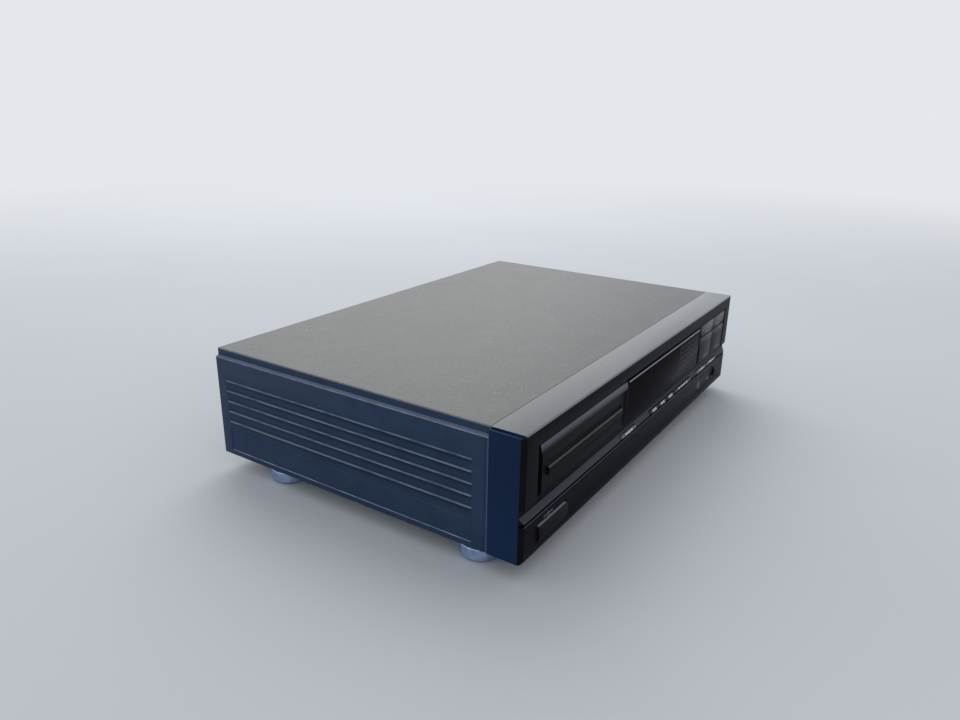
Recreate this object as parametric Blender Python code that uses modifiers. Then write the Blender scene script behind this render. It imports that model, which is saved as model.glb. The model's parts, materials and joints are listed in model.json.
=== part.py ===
"""A mid-size component CD player: folded steel case, moulded fascia with a sloping key strip,
a sliding disc tray with its rack drive, and a swinging laser arm under a sprung clamp.

Metres, +Z up, the front faces -Y. The origin is the centre of the footprint, on the floor.
"""

import math

import bmesh
import bpy
from mathutils import Matrix

# Driving sizes of the case, and what every piece shares
CASE_WIDTH = 0.420
CASE_DEPTH = 0.2814
CASE_HEIGHT = 0.0892
FOOT_HEIGHT = 0.0138
SLIP = 0.0003
OVERRUN = 0.002
WELD = 0.000001
ROUND = 32
SMOOTH_ANGLE = math.radians(35)

# Sheet steel of the case
SHEET = 0.001
COVER_INSET = 0.0025
COVER_BAND = 0.0056
COVER_CHAMFER = 0.0011
COVER_BEND = 0.0008
COVER_FRONT_STEP = 0.0004
COVER_FRONT_LAND = 0.0025
COVER_LIP = 0.008
COVER_LIP_INSET = 0.0014
RIBS = 5
RIB_TOP = 0.0648
RIB_PITCH = 0.0087
RIB_PROUD = 0.0004
RIB_FALL = 0.0079
RIB_EDGE = 0.0007
FIELD_DEPTH = 0.0004
FIELD_BOTTOM = 0.0044
FIELD_FRONT_INSET = 0.0120
FIELD_REAR_INSET = 0.0100
CHASSIS_FLANGE = 0.012
CHASSIS_LIP = 0.004
VENTS = 7
VENT_WIDTH = 0.004
VENT_LENGTH = 0.048
VENT_PITCH = 0.010
VENT_SIDE_INSET = 0.040
VENT_REAR_INSET = 0.070
REAR_INSET = 0.004

# Feet, measured from the sides, the front and the back
FOOT_RADIUS = 0.0155
FOOT_NECK_RADIUS = 0.012
FOOT_NECK_HEIGHT = 0.0025
FOOT_EDGE = 0.0009
FOOT_SIDE_INSET = 0.0185
FOOT_FRONT_INSET = 0.0417
FOOT_REAR_INSET = 0.0557
PAD_RADIUS = 0.0112
PAD_HEIGHT = 0.0023
PAD_EDGE = 0.0004
PAD_SHOW = 0.0013

# Fascia section, from the floor of the case up
FASCIA_DEPTH = 0.0257
FASCIA_WALL = 0.0025
TOP_EDGE_RADIUS = 0.0015
EDGE_STEPS = 4
CHEEK_CHAMFER = 0.003
CHEEK_STEP = 0.0016
FOOT_CHAMFER = 0.0016
LOWER_HEIGHT = 0.0262
LOWER_BEVEL_HEIGHT = 0.0012
LOWER_BEVEL_DEPTH = 0.0007
GROOVE_HEIGHT = 0.0009
GROOVE_DEPTH = 0.0014
STRIP_RISE = 0.0051
NOTCH_RISE = 0.0052
NOTCH_DEPTH = 0.0029
OPENING_CHEEK = 0.0175
OPENING_CHEEK_RIGHT = 0.0163
OPENING_HEAD = 0.0107
FACE_SET_BACK = 0.0004
BOSS_RADIUS = 0.0023
BOSS_INSET = 0.006
BOSS_HEAD_INSET = 0.0072

# Tray door
DOOR_GAP = 0.0043
DOOR_WIDTH = 0.1346
DOOR_DEPTH = 0.0047
DOOR_HANG = 0.0004
DOOR_TOP_GAP = 0.0013
BULLNOSE_HEIGHT = 0.0073
BULLNOSE_DEPTH = 0.0030
BULLNOSE_STEPS = 7
DOOR_FACE_DEPTH = 0.0018
DOOR_UNDERCUT = 0.0006
BAR_LEFT_INSET = 0.0112
BAR_RIGHT_INSET = 0.0068
BAR_BELOW_BULLNOSE = 0.0136
BAR_HEIGHT = 0.0064
BAR_PROUD = 0.0019
BAR_SLOPE = 0.0011
BAR_ROOT = 0.001
BAR_GROOVE = 0.0013
BAR_GROOVE_DEPTH = 0.0009

# Window and display
WINDOW_GAP = 0.0021
WINDOW_THICKNESS = 0.003
WINDOW_CHAMFER = 0.0012
WINDOW_CHAMFER_DEPTH = 0.0008
TUBE_SIDE_INSET = 0.030
TUBE_TOP_INSET = 0.006
TUBE_HEIGHT = 0.024
TUBE_DEPTH = 0.008
TUBE_EDGE = 0.0012
TUBE_TIP_RADIUS = 0.002
TUBE_TIP_LENGTH = 0.006

# Play keys, in two rows and two columns right of the window
PLAY_GAP = 0.0055
PLAY_KEY_WIDTH = 0.0354
PLAY_KEY_GAP = 0.0009
PLAY_RIGHT_GAP = 0.0013
PLAY_UPPER_HEIGHT = 0.0121
PLAY_KEY_DEPTH = 0.0052
PLAY_KEY_EDGE = 0.0007
PLAY_TRAVEL = 0.0012
STEM_SIDE = 0.004

# Keys on the sloping strip, measured along the slope and from the middle of the case
STRIP_KEY_TOE = 0.0007
STRIP_KEY_HEIGHT = 0.0028
STRIP_KEY_PROUD = 0.0009
STRIP_KEY_REACH = 0.013
STRIP_KEY_EDGE = 0.0005
STRIP_WELL_HEAD = 0.0009
STRIP_WELL_SIDE = 0.0022
STRIP_TRAVEL = 0.001
OPEN_KEY_LEFT = -0.0575
OPEN_KEY_WIDTH = 0.0275
SMALL_KEY_LEFT = 0.0025
SMALL_KEY_WIDTH = 0.0158
SMALL_KEY_PITCH = 0.0192
SMALL_KEYS = 3
LONG_KEY_LEFT = 0.0595
LONG_KEY_WIDTH = 0.0425
SKIP_KEY_LEFT = 0.1205
SKIP_KEY_WIDTH = 0.0270
SKIP_KEY_GAP = 0.0032
SKIP_KEYS = 2

# Power key, rod and switch
POWER_KEY_CHEEK = 0.0200
POWER_KEY_WIDTH = 0.040
POWER_KEY_HEIGHT = 0.0125
POWER_KEY_SILL = 0.0075
POWER_KEY_PROUD = 0.0018
POWER_KEY_SLOPE = 0.0012
POWER_KEY_DEPTH = 0.009
POWER_KEY_ROUND = 0.004
POWER_TRAVEL = 0.004
ROD_WIDTH = 0.004
ROD_HEIGHT = 0.005
ROD_LENGTH = 0.164
SWITCH_WIDTH = 0.016
SWITCH_LENGTH = 0.014
SWITCH_ABOVE = 0.006
PLUNGER_LENGTH = 0.0015
PLUNGER_RADIUS = 0.0018

# Headphone socket
PHONES_FROM_RIGHT = 0.038
PHONES_HEIGHT = 0.0162
PHONES_RADIUS = 0.0055
PHONES_BORE_RADIUS = 0.0033
PHONES_BORE_DEPTH = 0.0125
PHONES_PROUD = 0.0006
PHONES_BODY_SIDE = 0.0110
PHONES_BODY_SET_BACK = 0.0003

# Boards
BOARD = 0.0016
FRONT_BOARD_SET_BACK = 0.018
FRONT_BOARD_LEFT = -0.048
FRONT_BOARD_SIDE_INSET = 0.012
FRONT_BOARD_SILL = 0.0045
FRONT_BOARD_HEAD = 0.0065
TACT_SIDE = 0.006
TACT_DEPTH = 0.0038
MAIN_BOARD_LEFT = -0.040
MAIN_BOARD_SIDE_INSET = 0.014
MAIN_BOARD_FRONT = 0.064
MAIN_BOARD_REAR_INSET = 0.020
MAIN_BOARD_HEIGHT = 0.0102
STANDOFF_RADIUS = 0.003
STANDOFF_INSET = 0.010
CABLE_WIDTH = 0.022
CABLE_THICKNESS = 0.0008
CABLE_LEFT = 0.010
CABLE_TOP = 0.028
CABLE_LANDING = 0.012

# Power supply
TRANSFORMER_WIDTH = 0.054
TRANSFORMER_LENGTH = 0.048
TRANSFORMER_REAR_INSET = 0.029
TRANSFORMER_HEIGHT = 0.038
TRANSFORMER_BASE = 0.0035
TRANSFORMER_FOOT = 0.002
COIL_SHARE = 0.62
COIL_OVERHANG = 0.004
COIL_EDGE = 0.003
HEAT_SINK_LEFT = 0.060
HEAT_SINK_WIDTH = 0.050
HEAT_SINK_DEPTH = 0.022
HEAT_SINK_HEIGHT = 0.034
HEAT_SINK_FINS = 8
HEAT_SINK_BACK = 0.003
FIN_THICKNESS = 0.0016
SINK_REAR_INSET = 0.036
CAPACITOR_RADIUS = 0.008
CAPACITOR_HEIGHT = 0.026
CAPACITOR_PITCH = 0.020
CAPACITOR_LEFT = 0.012
CAPACITOR_EDGE = 0.0008
CAPACITORS = 2

# Sockets in the rear panel
SOCKET_HEIGHT = 0.026
LINE_OUT_X = 0.100
PHONO_PITCH = 0.016
DIGITAL_OUT_X = 0.145
PHONO_RADIUS = 0.0041
PHONO_BORE_RADIUS = 0.0017
PHONO_PROUD = 0.0090
PHONO_FLANGE_RADIUS = 0.0058
PHONO_FLANGE = 0.0012
PHONO_BODY_SIDE = 0.014
PHONO_BODY_DEPTH = 0.011
INLET_FROM_LEFT = 0.042
INLET_WIDTH = 0.022
INLET_TALL = 0.0135
INLET_DEPTH = 0.014
INLET_PROUD = 0.0016
INLET_RECESS_RADIUS = 0.0045
INLET_RECESS_DEPTH = 0.0115
INLET_PIN_PITCH = 0.0086
INLET_PIN_RADIUS = 0.0011
INLET_PIN_LENGTH = 0.009
SCREWS = 3
SCREW_SIDE_INSET = 0.060
SCREW_HEAD_RADIUS = 0.0032
SCREW_HEAD_HEIGHT = 0.0019
SCREW_SHANK_RADIUS = 0.0014
SCREW_SHANK_LENGTH = 0.0035
SCREW_BELOW_TOP = 0.0049

# Disc tray, its heights measured from the tray's rim down
DISC_RECESS_RADIUS = 0.0605
TRAY_RIM = 0.0035
TRAY_BELOW_HEAD = 0.0083
TRAY_THICKNESS = 0.0045
TRAY_RECESS = 0.0025
TRAY_LENGTH = 0.184
TRAY_LIP = 0.0117
SKIRT_HEIGHT = 0.010
SKIRT_THICKNESS = 0.002
SLOT_HALF_WIDTH = 0.017
TRAY_TRAVEL = 0.140
RECESS_STEPS = 48
SLOT_STEPS = 16

# Rack and gears, as shares of the module
MODULE = 0.00125
PRESSURE_ANGLE = math.radians(20)
ADDENDUM_SHARE = 0.8
DEDENDUM_SHARE = 1.1
BACKLASH = 0.0002
GEAR_TEETH = 20
PINION_TEETH = 12
FLANK_STEPS = 2
GEAR_THICKNESS = 0.004
RACK_BACK = 0.002
RACK_INSET = 0.012
RACK_FRONT = 0.030
GEAR_BELOW_TRAY = 0.0007
GEAR_FROM_FRONT = 0.047
HUB_RADIUS = 0.0024
POST_RADIUS = 0.0015
DRIVE_PULLEY_RADIUS = 0.016
MOTOR_PULLEY_RADIUS = 0.003
PULLEY_HEIGHT = 0.0034
PULLEY_RIM = 0.0012
BELT = 0.001
MOTOR_FROM_CENTRE = 0.034
MOTOR_RADIUS = 0.012
MOTOR_LENGTH = 0.0225
MOTOR_SHAFT_RADIUS = 0.001

# Loader frame
FRAME_PLATE = 0.0025
FRAME_WALL = 0.0027
FRAME_FRONT = 0.028
FRAME_REAR_LAND = 0.015
FRAME_LIP = 0.004
FRAME_LIP_HEIGHT = 0.002
FRAME_LIP_LENGTH = 0.030
FRAME_WINDOW_LEFT = 0.057
FRAME_WINDOW_RIGHT = 0.026
FRAME_WINDOW_FRONT = 0.010
FRAME_WINDOW_REAR = 0.072
RUNNER = 0.0045
LEG_RADIUS = 0.004
LEG_INSET = 0.0055
LEG_FRONT = 0.066
LEG_REAR_INSET = 0.015
PULLEY_CLEAR = 0.0005

# Laser mechanism under the disc, measured from the turntable's centre
DISC_SEAT_RECESS = 0.002
TURNTABLE_RADIUS = 0.015
TURNTABLE_THICKNESS = 0.0025
TURNTABLE_HUB_RADIUS = 0.004
CONE_RADIUS = 0.0073
CONE_TIP_RADIUS = 0.0055
CONE_HEIGHT = 0.0024
CONE_BAND = 0.0009
SPINDLE_RADIUS = 0.0012
PLATE_BELOW_SEAT = 0.022
PLATE_THICKNESS = 0.002
PLATE_LEFT = 0.055
PLATE_RIGHT = 0.040
PLATE_FRONT = 0.016
PLATE_REAR = 0.082
PLATE_SLANT = 0.005
PLATE_TAB_LEFT = -0.002
PLATE_TAB_RIGHT = 0.018
PLATE_TAB_FRONT = 0.030
SPINDLE_HOLE_RADIUS = 0.008
SPINDLE_MOTOR_RADIUS = 0.013
SPINDLE_MOTOR_HEIGHT = 0.016
ARM_LENGTH = 0.050
ARM_REST_ANGLE = math.radians(28)
ARM_MIDDLE_ANGLE = math.radians(49)
ARM_HALF_WIDTH = 0.0045
ARM_THICKNESS = 0.005
ARM_LIFT = 0.0012
ARM_BOSS_RADIUS = 0.0055
ARM_BOSS_HEIGHT = 0.0075
ARM_HEAD_RADIUS = 0.0062
ARM_HEAD_BELOW_SEAT = 0.005
ARM_TAIL = 0.0085
ARM_TAIL_HALF_WIDTH = 0.005
LENS_RADIUS = 0.0034
LENS_HEIGHT = 0.0026
LENS_RING = 0.0012
LENS_STEPS = 4
GROMMET_RADIUS = 0.0045
GROMMET_WAIST_RADIUS = 0.003
GROMMET_TAB_X = 0.008
GROMMET_TAB_FRONT = 0.024
GROMMET_REAR_X = 0.034
GROMMET_REAR_LEFT_X = -0.046
GROMMET_REAR = 0.076

# Clamp
CLAMP_PLATE = 0.002
CLAMP_ABOVE_SEAT = 0.006
CLAMP_RING_RADIUS = 0.019
CLAMP_HOLE_RADIUS = 0.0093
CLAMP_ARM_HALF_WIDTH = 0.010
CLAMP_ROOT_HALF_WIDTH = 0.013
CLAMP_PIVOT_REAR = 0.007
CLAMP_BARREL_RADIUS = 0.003
CLAMP_BARREL_HALF = 0.015
CLAMP_PIN_RADIUS = 0.0012
EAR_THICKNESS = 0.003
EAR_HALF_LENGTH = 0.005
PUCK_RADIUS = 0.013
PUCK_CAP_RADIUS = 0.0115
PUCK_NECK_RADIUS = 0.0087
PUCK_RECESS_RADIUS = 0.0088
PUCK_RECESS = 0.0025
PUCK_ABOVE_SEAT = 0.0004
PUCK_CAP = 0.0018
PUCK_PLAY = 0.0006

# Places that follow from the sizes above
half_width = CASE_WIDTH / 2
floor_z = FOOT_HEIGHT
top_z = floor_z + CASE_HEIGHT
floor_top_z = floor_z + SHEET
rear_panel_y = CASE_DEPTH - REAR_INSET
socket_overhang = PHONO_PROUD - (CASE_DEPTH - rear_panel_y - SHEET)
full_depth = POWER_KEY_PROUD + CASE_DEPTH + socket_overhang
front_y = POWER_KEY_PROUD - full_depth / 2
bevel_z = floor_z + LOWER_HEIGHT
groove_z = bevel_z + LOWER_BEVEL_HEIGHT
strip_z = groove_z + GROOVE_HEIGHT
strip_top_z = strip_z + STRIP_RISE
notch_top_z = strip_top_z + NOTCH_RISE
opening_left = OPENING_CHEEK - half_width
opening_right = half_width - OPENING_CHEEK_RIGHT
opening_top_z = top_z - OPENING_HEAD
hang_z = notch_top_z + DOOR_HANG
door_left = opening_left + DOOR_GAP
door_right = door_left + DOOR_WIDTH
loader_x = (door_left + door_right) / 2
play_right = opening_right - PLAY_RIGHT_GAP
play_left = play_right - PLAY_KEY_WIDTH * 2 - PLAY_KEY_GAP
window_left = door_right + WINDOW_GAP
window_right = play_left - PLAY_GAP
face_top_z = opening_top_z - DOOR_TOP_GAP
cover_front_y = FASCIA_DEPTH + SLIP

tray_half_width = DISC_RECESS_RADIUS + TRAY_RIM
tray_front_y = FACE_SET_BACK + DOOR_DEPTH + SLIP
tray_rear_y = tray_front_y + TRAY_LENGTH
disc_y = tray_front_y + TRAY_LIP + DISC_RECESS_RADIUS
tray_rim_z = opening_top_z - TRAY_BELOW_HEAD
tray_under_z = tray_rim_z - TRAY_THICKNESS
skirt_z = tray_rim_z - SKIRT_HEIGHT
seat_z = tray_rim_z - DISC_SEAT_RECESS
frame_top_z = skirt_z - SLIP - RUNNER
frame_under_z = frame_top_z - FRAME_PLATE
frame_inner_x = tray_half_width + SLIP
frame_outer_x = frame_inner_x + FRAME_WALL
frame_rear_y = tray_rear_y + FRAME_REAR_LAND
plate_top_z = seat_z - PLATE_BELOW_SEAT
plate_under_z = plate_top_z - PLATE_THICKNESS

gear_radius = MODULE * GEAR_TEETH / 2
pinion_radius = MODULE * PINION_TEETH / 2
rack_x = tray_half_width - RACK_INSET
gear_x = rack_x - gear_radius
pinion_x = gear_x - gear_radius - pinion_radius
gear_top_z = tray_under_z - GEAR_BELOW_TRAY
gear_z = gear_top_z - GEAR_THICKNESS
pulley_z = frame_top_z + PULLEY_CLEAR
belt_z = pulley_z + PULLEY_HEIGHT / 2

# Scene
for old in list(bpy.data.objects):
    bpy.data.objects.remove(old, do_unlink=True)
scene = bpy.context.scene
scene.unit_settings.system = "METRIC"
parts = bpy.data.collections.new("cd_player")
cutters = bpy.data.collections.new("cutters")
for collection in (parts, cutters):
    scene.collection.children.link(collection)


def datum(name, location, parent=None, rotation=(0, 0, 0)):
    """An empty that carries the frame its pieces are measured in."""
    empty = bpy.data.objects.new(name, None)
    empty.location = location
    empty.rotation_euler = rotation
    empty.parent = parent
    parts.objects.link(empty)
    return empty


# y is measured back from the front plane, and the loader's x from the middle of its tray
case = datum("case_datum", (0, front_y, 0))
loader = datum("loader_datum", (loader_x, 0, 0), case)
strip_length = math.hypot(NOTCH_DEPTH, STRIP_RISE)
strip = datum("strip_datum", (0, 0, strip_z), case, (math.atan2(STRIP_RISE, NOTCH_DEPTH), 0, 0))


def add(name, mesh, location, parent, rotation=(0, 0, 0)):
    """Puts a mesh in the model, shaded smooth between its sharp edges."""
    mesh.shade_smooth()
    mesh.set_sharp_from_angle(angle=SMOOTH_ANGLE)
    obj = bpy.data.objects.new(name, mesh)
    obj.location = location
    obj.rotation_euler = rotation
    obj.parent = parent
    parts.objects.link(obj)
    return obj


def add_bmesh(name, bm, location, parent, rotation=(0, 0, 0)):
    """Puts a finished bmesh in the model."""
    mesh = bpy.data.meshes.new(name)
    bm.to_mesh(mesh)
    bm.free()
    return add(name, mesh, location, parent, rotation)


def box(name, x, y, z, parent=case):
    """A block between three pairs of limits, with its origin at its centre."""
    spans = (x, y, z)
    bm = bmesh.new()
    scale = Matrix.Diagonal([high - low for low, high in spans] + [1])
    bmesh.ops.create_cube(bm, size=1, matrix=scale)
    return add_bmesh(name, bm, [(low + high) / 2 for low, high in spans], parent)


TURNS = {"X": (0, math.pi / 2, 0), "Y": (-math.pi / 2, 0, 0), "Z": (0, 0, 0)}


def drum(name, radius, span, at, axis="Z", parent=case, steps=ROUND):
    """A cylinder along one axis, from span[0] to span[1], at the two other coordinates."""
    bm = bmesh.new()
    length = span[1] - span[0]
    bmesh.ops.create_cone(bm, cap_ends=True, segments=steps, radius1=radius, radius2=radius, depth=length)
    middle = (span[0] + span[1]) / 2
    places = {"X": (middle, *at), "Y": (at[0], middle, at[1]), "Z": (*at, middle)}
    return add_bmesh(name, bm, places[axis], parent, TURNS[axis])


def turned(name, profile, at, axis="Z", parent=case, steps=ROUND):
    """A round solid from its half section of (radius, height), listed down the outer side.
    A section that doesn't start on the axis is closed into a ring."""
    bm = bmesh.new()
    verts = [bm.verts.new((radius, 0, height)) for radius, height in profile]
    pairs = list(zip(verts, verts[1:]))
    if profile[0][0] > 0:
        pairs.append((verts[-1], verts[0]))
    for pair in pairs:
        bm.edges.new(pair)
    obj = add_bmesh(name, bm, at, parent, TURNS[axis])
    screw = obj.modifiers.new("turn", "SCREW")
    screw.steps = steps
    screw.render_steps = steps
    screw.use_merge_vertices = True
    screw.merge_threshold = WELD
    return obj


FLAT_TURNS = {"X": (math.pi / 2, 0, math.pi / 2), "Y": (math.pi / 2, 0, 0), "Z": (0, 0, 0)}


def slab(name, loops, axis, span, at=(0, 0), parent=case):
    """A flat outline with its holes, drawn across one axis and filled from span[0] to span[1].
    The outline runs in (y, z) across X, in (x, z) across Y and in (x, y) across Z."""
    curve = bpy.data.curves.new(name, "CURVE")
    curve.dimensions = "2D"
    curve.fill_mode = "BOTH"
    curve.extrude = (span[1] - span[0]) / 2
    for loop in loops:
        spline = curve.splines.new("POLY")
        spline.points.add(len(loop) - 1)
        spline.use_cyclic_u = True
        for point, place in zip(spline.points, loop):
            point.co = (*place, 0, 1)
    outline = bpy.data.objects.new(name + "_outline", curve)
    parts.objects.link(outline)
    graph = bpy.context.evaluated_depsgraph_get()
    mesh = bpy.data.meshes.new_from_object(outline.evaluated_get(graph))
    bm = bmesh.new()
    bm.from_mesh(mesh)
    bmesh.ops.remove_doubles(bm, verts=bm.verts, dist=WELD)
    bmesh.ops.recalc_face_normals(bm, faces=bm.faces)
    bm.to_mesh(mesh)
    bm.free()
    bpy.data.objects.remove(outline)
    mesh.materials.clear()
    middle = (span[0] + span[1]) / 2
    places = {"X": (middle, *at), "Y": (at[0], middle, at[1]), "Z": (*at, middle)}
    return add(name, mesh, places[axis], parent, FLAT_TURNS[axis])


def circle(radius, centre=(0, 0), steps=ROUND, start=0.0, sweep=2 * math.pi):
    """Points round a circle or an arc. A full circle doesn't repeat its first point."""
    count = steps if sweep == 2 * math.pi else steps + 1
    angles = [start + sweep * index / steps for index in range(count)]
    return [(centre[0] + radius * math.cos(angle), centre[1] + radius * math.sin(angle)) for angle in angles]


def rectangle(x, y):
    """The four corners between two pairs of limits."""
    return [(x[0], y[0]), (x[1], y[0]), (x[1], y[1]), (x[0], y[1])]


def combine(obj, operation, *tools):
    """Booleans a piece with tools, which move to the cutters and stay out of the model."""
    for tool in tools:
        boolean = obj.modifiers.new(tool.name, "BOOLEAN")
        boolean.object = tool
        boolean.operation = operation
        boolean.solver = "EXACT"
        tool.hide_render = True
        tool.display_type = "WIRE"
        parts.objects.unlink(tool)
        cutters.objects.link(tool)
    return obj


def cut(obj, *tools):
    return combine(obj, "DIFFERENCE", *tools)


def join(obj, *tools):
    return combine(obj, "UNION", *tools)


def soften(obj, width, segments=2):
    """Rounds the sharp edges of a piece."""
    bevel = obj.modifiers.new("soft edges", "BEVEL")
    bevel.width = width
    bevel.segments = segments
    bevel.limit_method = "ANGLE"
    return obj


# Looks as (red, green, blue), roughness, metallic
LOOKS = {
    "cover_paint": ((0.055, 0.060, 0.066), 0.45, 0.3),
    "fascia_plastic": ((0.030, 0.033, 0.038), 0.38, 0.0),
    "key_plastic": ((0.075, 0.080, 0.088), 0.35, 0.0),
    "smoked_glass": ((0.008, 0.008, 0.010), 0.08, 0.0),
    "tube_glass": ((0.10, 0.16, 0.16), 0.10, 0.0),
    "foot_silver": ((0.62, 0.66, 0.72), 0.20, 0.9),
    "rubber": ((0.02, 0.02, 0.02), 0.80, 0.0),
    "zinc": ((0.55, 0.56, 0.55), 0.40, 0.9),
    "board": ((0.10, 0.17, 0.07), 0.55, 0.0),
    "black_plastic": ((0.02, 0.02, 0.022), 0.50, 0.0),
    "white_plastic": ((0.72, 0.71, 0.66), 0.45, 0.0),
    "aluminium": ((0.70, 0.71, 0.72), 0.35, 1.0),
    "copper": ((0.60, 0.28, 0.12), 0.40, 0.7),
    "sleeve": ((0.03, 0.06, 0.16), 0.35, 0.0),
    "lens_glass": ((0.30, 0.35, 0.55), 0.05, 0.0),
    "cable_grey": ((0.50, 0.50, 0.52), 0.50, 0.0),
}


def paint(obj, look):
    """Gives a piece its own material."""
    color, roughness, metallic = LOOKS[look]
    material = bpy.data.materials.new(obj.name)
    material.use_nodes = True
    shader = material.node_tree.nodes["Principled BSDF"]
    shader.inputs["Base Color"].default_value = (*color, 1)
    shader.inputs["Roughness"].default_value = roughness
    shader.inputs["Metallic"].default_value = metallic
    obj.data.materials.append(material)
    return obj


def build_fascia():
    """The moulded front: one section along the whole width, trimmed at the cheeks, hollow behind."""
    round_centre = (TOP_EDGE_RADIUS, top_z - TOP_EDGE_RADIUS)
    section = [
        (FASCIA_DEPTH, floor_z),
        (FOOT_CHAMFER, floor_z),
        (0, floor_z + FOOT_CHAMFER),
        (0, bevel_z),
        (LOWER_BEVEL_DEPTH, groove_z),
        (GROOVE_DEPTH, groove_z),
        (GROOVE_DEPTH, strip_z),
        (0, strip_z),
        (NOTCH_DEPTH, strip_top_z),
        (NOTCH_DEPTH, notch_top_z),
        (0, notch_top_z),
        *circle(TOP_EDGE_RADIUS, round_centre, EDGE_STEPS, math.pi, -math.pi / 2),
        (FASCIA_DEPTH, top_z),
    ]
    fascia = slab("fascia", [section], "X", (-half_width, half_width))

    chamfer_x = half_width - CHEEK_CHAMFER
    plan = [
        (-half_width - OVERRUN, FASCIA_DEPTH + OVERRUN),
        (-half_width - OVERRUN, CHEEK_CHAMFER + OVERRUN),
        (-chamfer_x + OVERRUN, -OVERRUN),
        (chamfer_x - OVERRUN, -OVERRUN),
        (half_width + OVERRUN, CHEEK_CHAMFER + OVERRUN),
        (half_width + OVERRUN, FASCIA_DEPTH + OVERRUN),
    ]
    combine(fascia, "INTERSECT", slab("fascia_plan", [plan], "Z", (0, top_z + OVERRUN)))
    for side, reach in ((-1, "left"), (1, "right")):
        outer = (half_width + OVERRUN) * side
        inner = (half_width - COVER_INSET) * side
        limits = (min(outer, inner), max(outer, inner))
        deep = (-OVERRUN, FASCIA_DEPTH + OVERRUN)
        cut(fascia, box("fascia_step_" + reach, limits, deep, (top_z - CHEEK_STEP, top_z + OVERRUN)))

    back = FASCIA_DEPTH + OVERRUN
    neck = NOTCH_DEPTH + FASCIA_WALL
    hollow = [
        (back, floor_z + FASCIA_WALL),
        (FASCIA_WALL, floor_z + FASCIA_WALL),
        (FASCIA_WALL, bevel_z - FASCIA_WALL),
        (neck, bevel_z),
        (neck, notch_top_z),
        (FASCIA_WALL, notch_top_z + FASCIA_WALL),
        (FASCIA_WALL, top_z - FASCIA_WALL),
        (back, top_z - FASCIA_WALL),
    ]
    inner_x = half_width - COVER_INSET - FASCIA_WALL
    cut(fascia, slab("fascia_hollow", [hollow], "X", (-inner_x, inner_x)))

    through = (-OVERRUN, neck + OVERRUN)
    cut(fascia, box("fascia_opening", (opening_left, opening_right), through, (notch_top_z, opening_top_z)))
    return paint(fascia, "fascia_plastic")


fascia = build_fascia()


def add_fascia_bosses(piece):
    """Pillars behind the front wall that hold the front board."""
    inner_x = half_width - FRONT_BOARD_SIDE_INSET - BOSS_INSET
    low_z = floor_z + FRONT_BOARD_SILL + BOSS_INSET
    high_z = top_z - BOSS_HEAD_INSET
    reach = (FASCIA_WALL / 2, FRONT_BOARD_SET_BACK - SLIP)
    for column, x in enumerate((FRONT_BOARD_LEFT + BOSS_INSET, inner_x)):
        for row, z in enumerate((low_z, high_z)):
            join(piece, drum(f"fascia_boss_{column}{row}", BOSS_RADIUS, reach, (x, z), "Y", steps=12))


add_fascia_bosses(fascia)


def build_door():
    """The tray's front: a bullnose head, a flat face and a long bar between two grooves."""
    back_y = FACE_SET_BACK + DOOR_DEPTH
    nose_z = face_top_z - BULLNOSE_HEIGHT
    nose = [
        (
            FACE_SET_BACK + BULLNOSE_DEPTH * (1 - math.cos(turn)),
            nose_z + BULLNOSE_HEIGHT * math.sin(turn),
        )
        for turn in (math.pi / 2 * step / BULLNOSE_STEPS for step in range(BULLNOSE_STEPS + 1))
    ]
    face_y = FACE_SET_BACK + DOOR_FACE_DEPTH
    section = [
        (back_y, hang_z),
        (face_y, hang_z),
        (face_y, nose_z - DOOR_UNDERCUT),
        (FACE_SET_BACK + DOOR_UNDERCUT, nose_z - DOOR_UNDERCUT),
        *nose,
        (back_y, face_top_z),
    ]
    door = slab("tray_door", [section], "X", (door_left - loader_x, door_right - loader_x), parent=loader)

    bar_top = nose_z - BAR_BELOW_BULLNOSE
    bar_foot = bar_top - BAR_HEIGHT
    bar_y = face_y - BAR_PROUD
    bar_section = [
        (face_y + BAR_ROOT, bar_foot),
        (bar_y + DOOR_UNDERCUT, bar_foot),
        (bar_y, bar_foot + DOOR_UNDERCUT),
        (bar_y, bar_top - BAR_SLOPE),
        (bar_y + BAR_SLOPE, bar_top),
        (face_y + BAR_ROOT, bar_top),
    ]
    bar_x = (door_left - loader_x + BAR_LEFT_INSET, door_right - loader_x - BAR_RIGHT_INSET)
    groove_y = (-OVERRUN, face_y + BAR_GROOVE_DEPTH)
    above = (bar_top - BAR_GROOVE, bar_top + BAR_GROOVE * 2)
    below = (bar_foot - BAR_GROOVE, bar_foot + BAR_GROOVE)
    cut(door, box("door_groove_above", bar_x, groove_y, above, loader))
    cut(door, box("door_groove_below", bar_x, groove_y, below, loader))
    join(door, slab("door_bar", [bar_section], "X", bar_x, parent=loader))
    return paint(door, "fascia_plastic")


build_door()


def build_window():
    """The smoked window, with the chamfer that catches the light along its head."""
    back_y = FACE_SET_BACK + WINDOW_THICKNESS
    section = [
        (back_y, hang_z),
        (FACE_SET_BACK, hang_z),
        (FACE_SET_BACK, face_top_z - WINDOW_CHAMFER),
        (FACE_SET_BACK + WINDOW_CHAMFER_DEPTH, face_top_z),
        (back_y, face_top_z),
    ]
    return paint(slab("display_window", [section], "X", (window_left, window_right)), "smoked_glass")


build_window()


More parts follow.
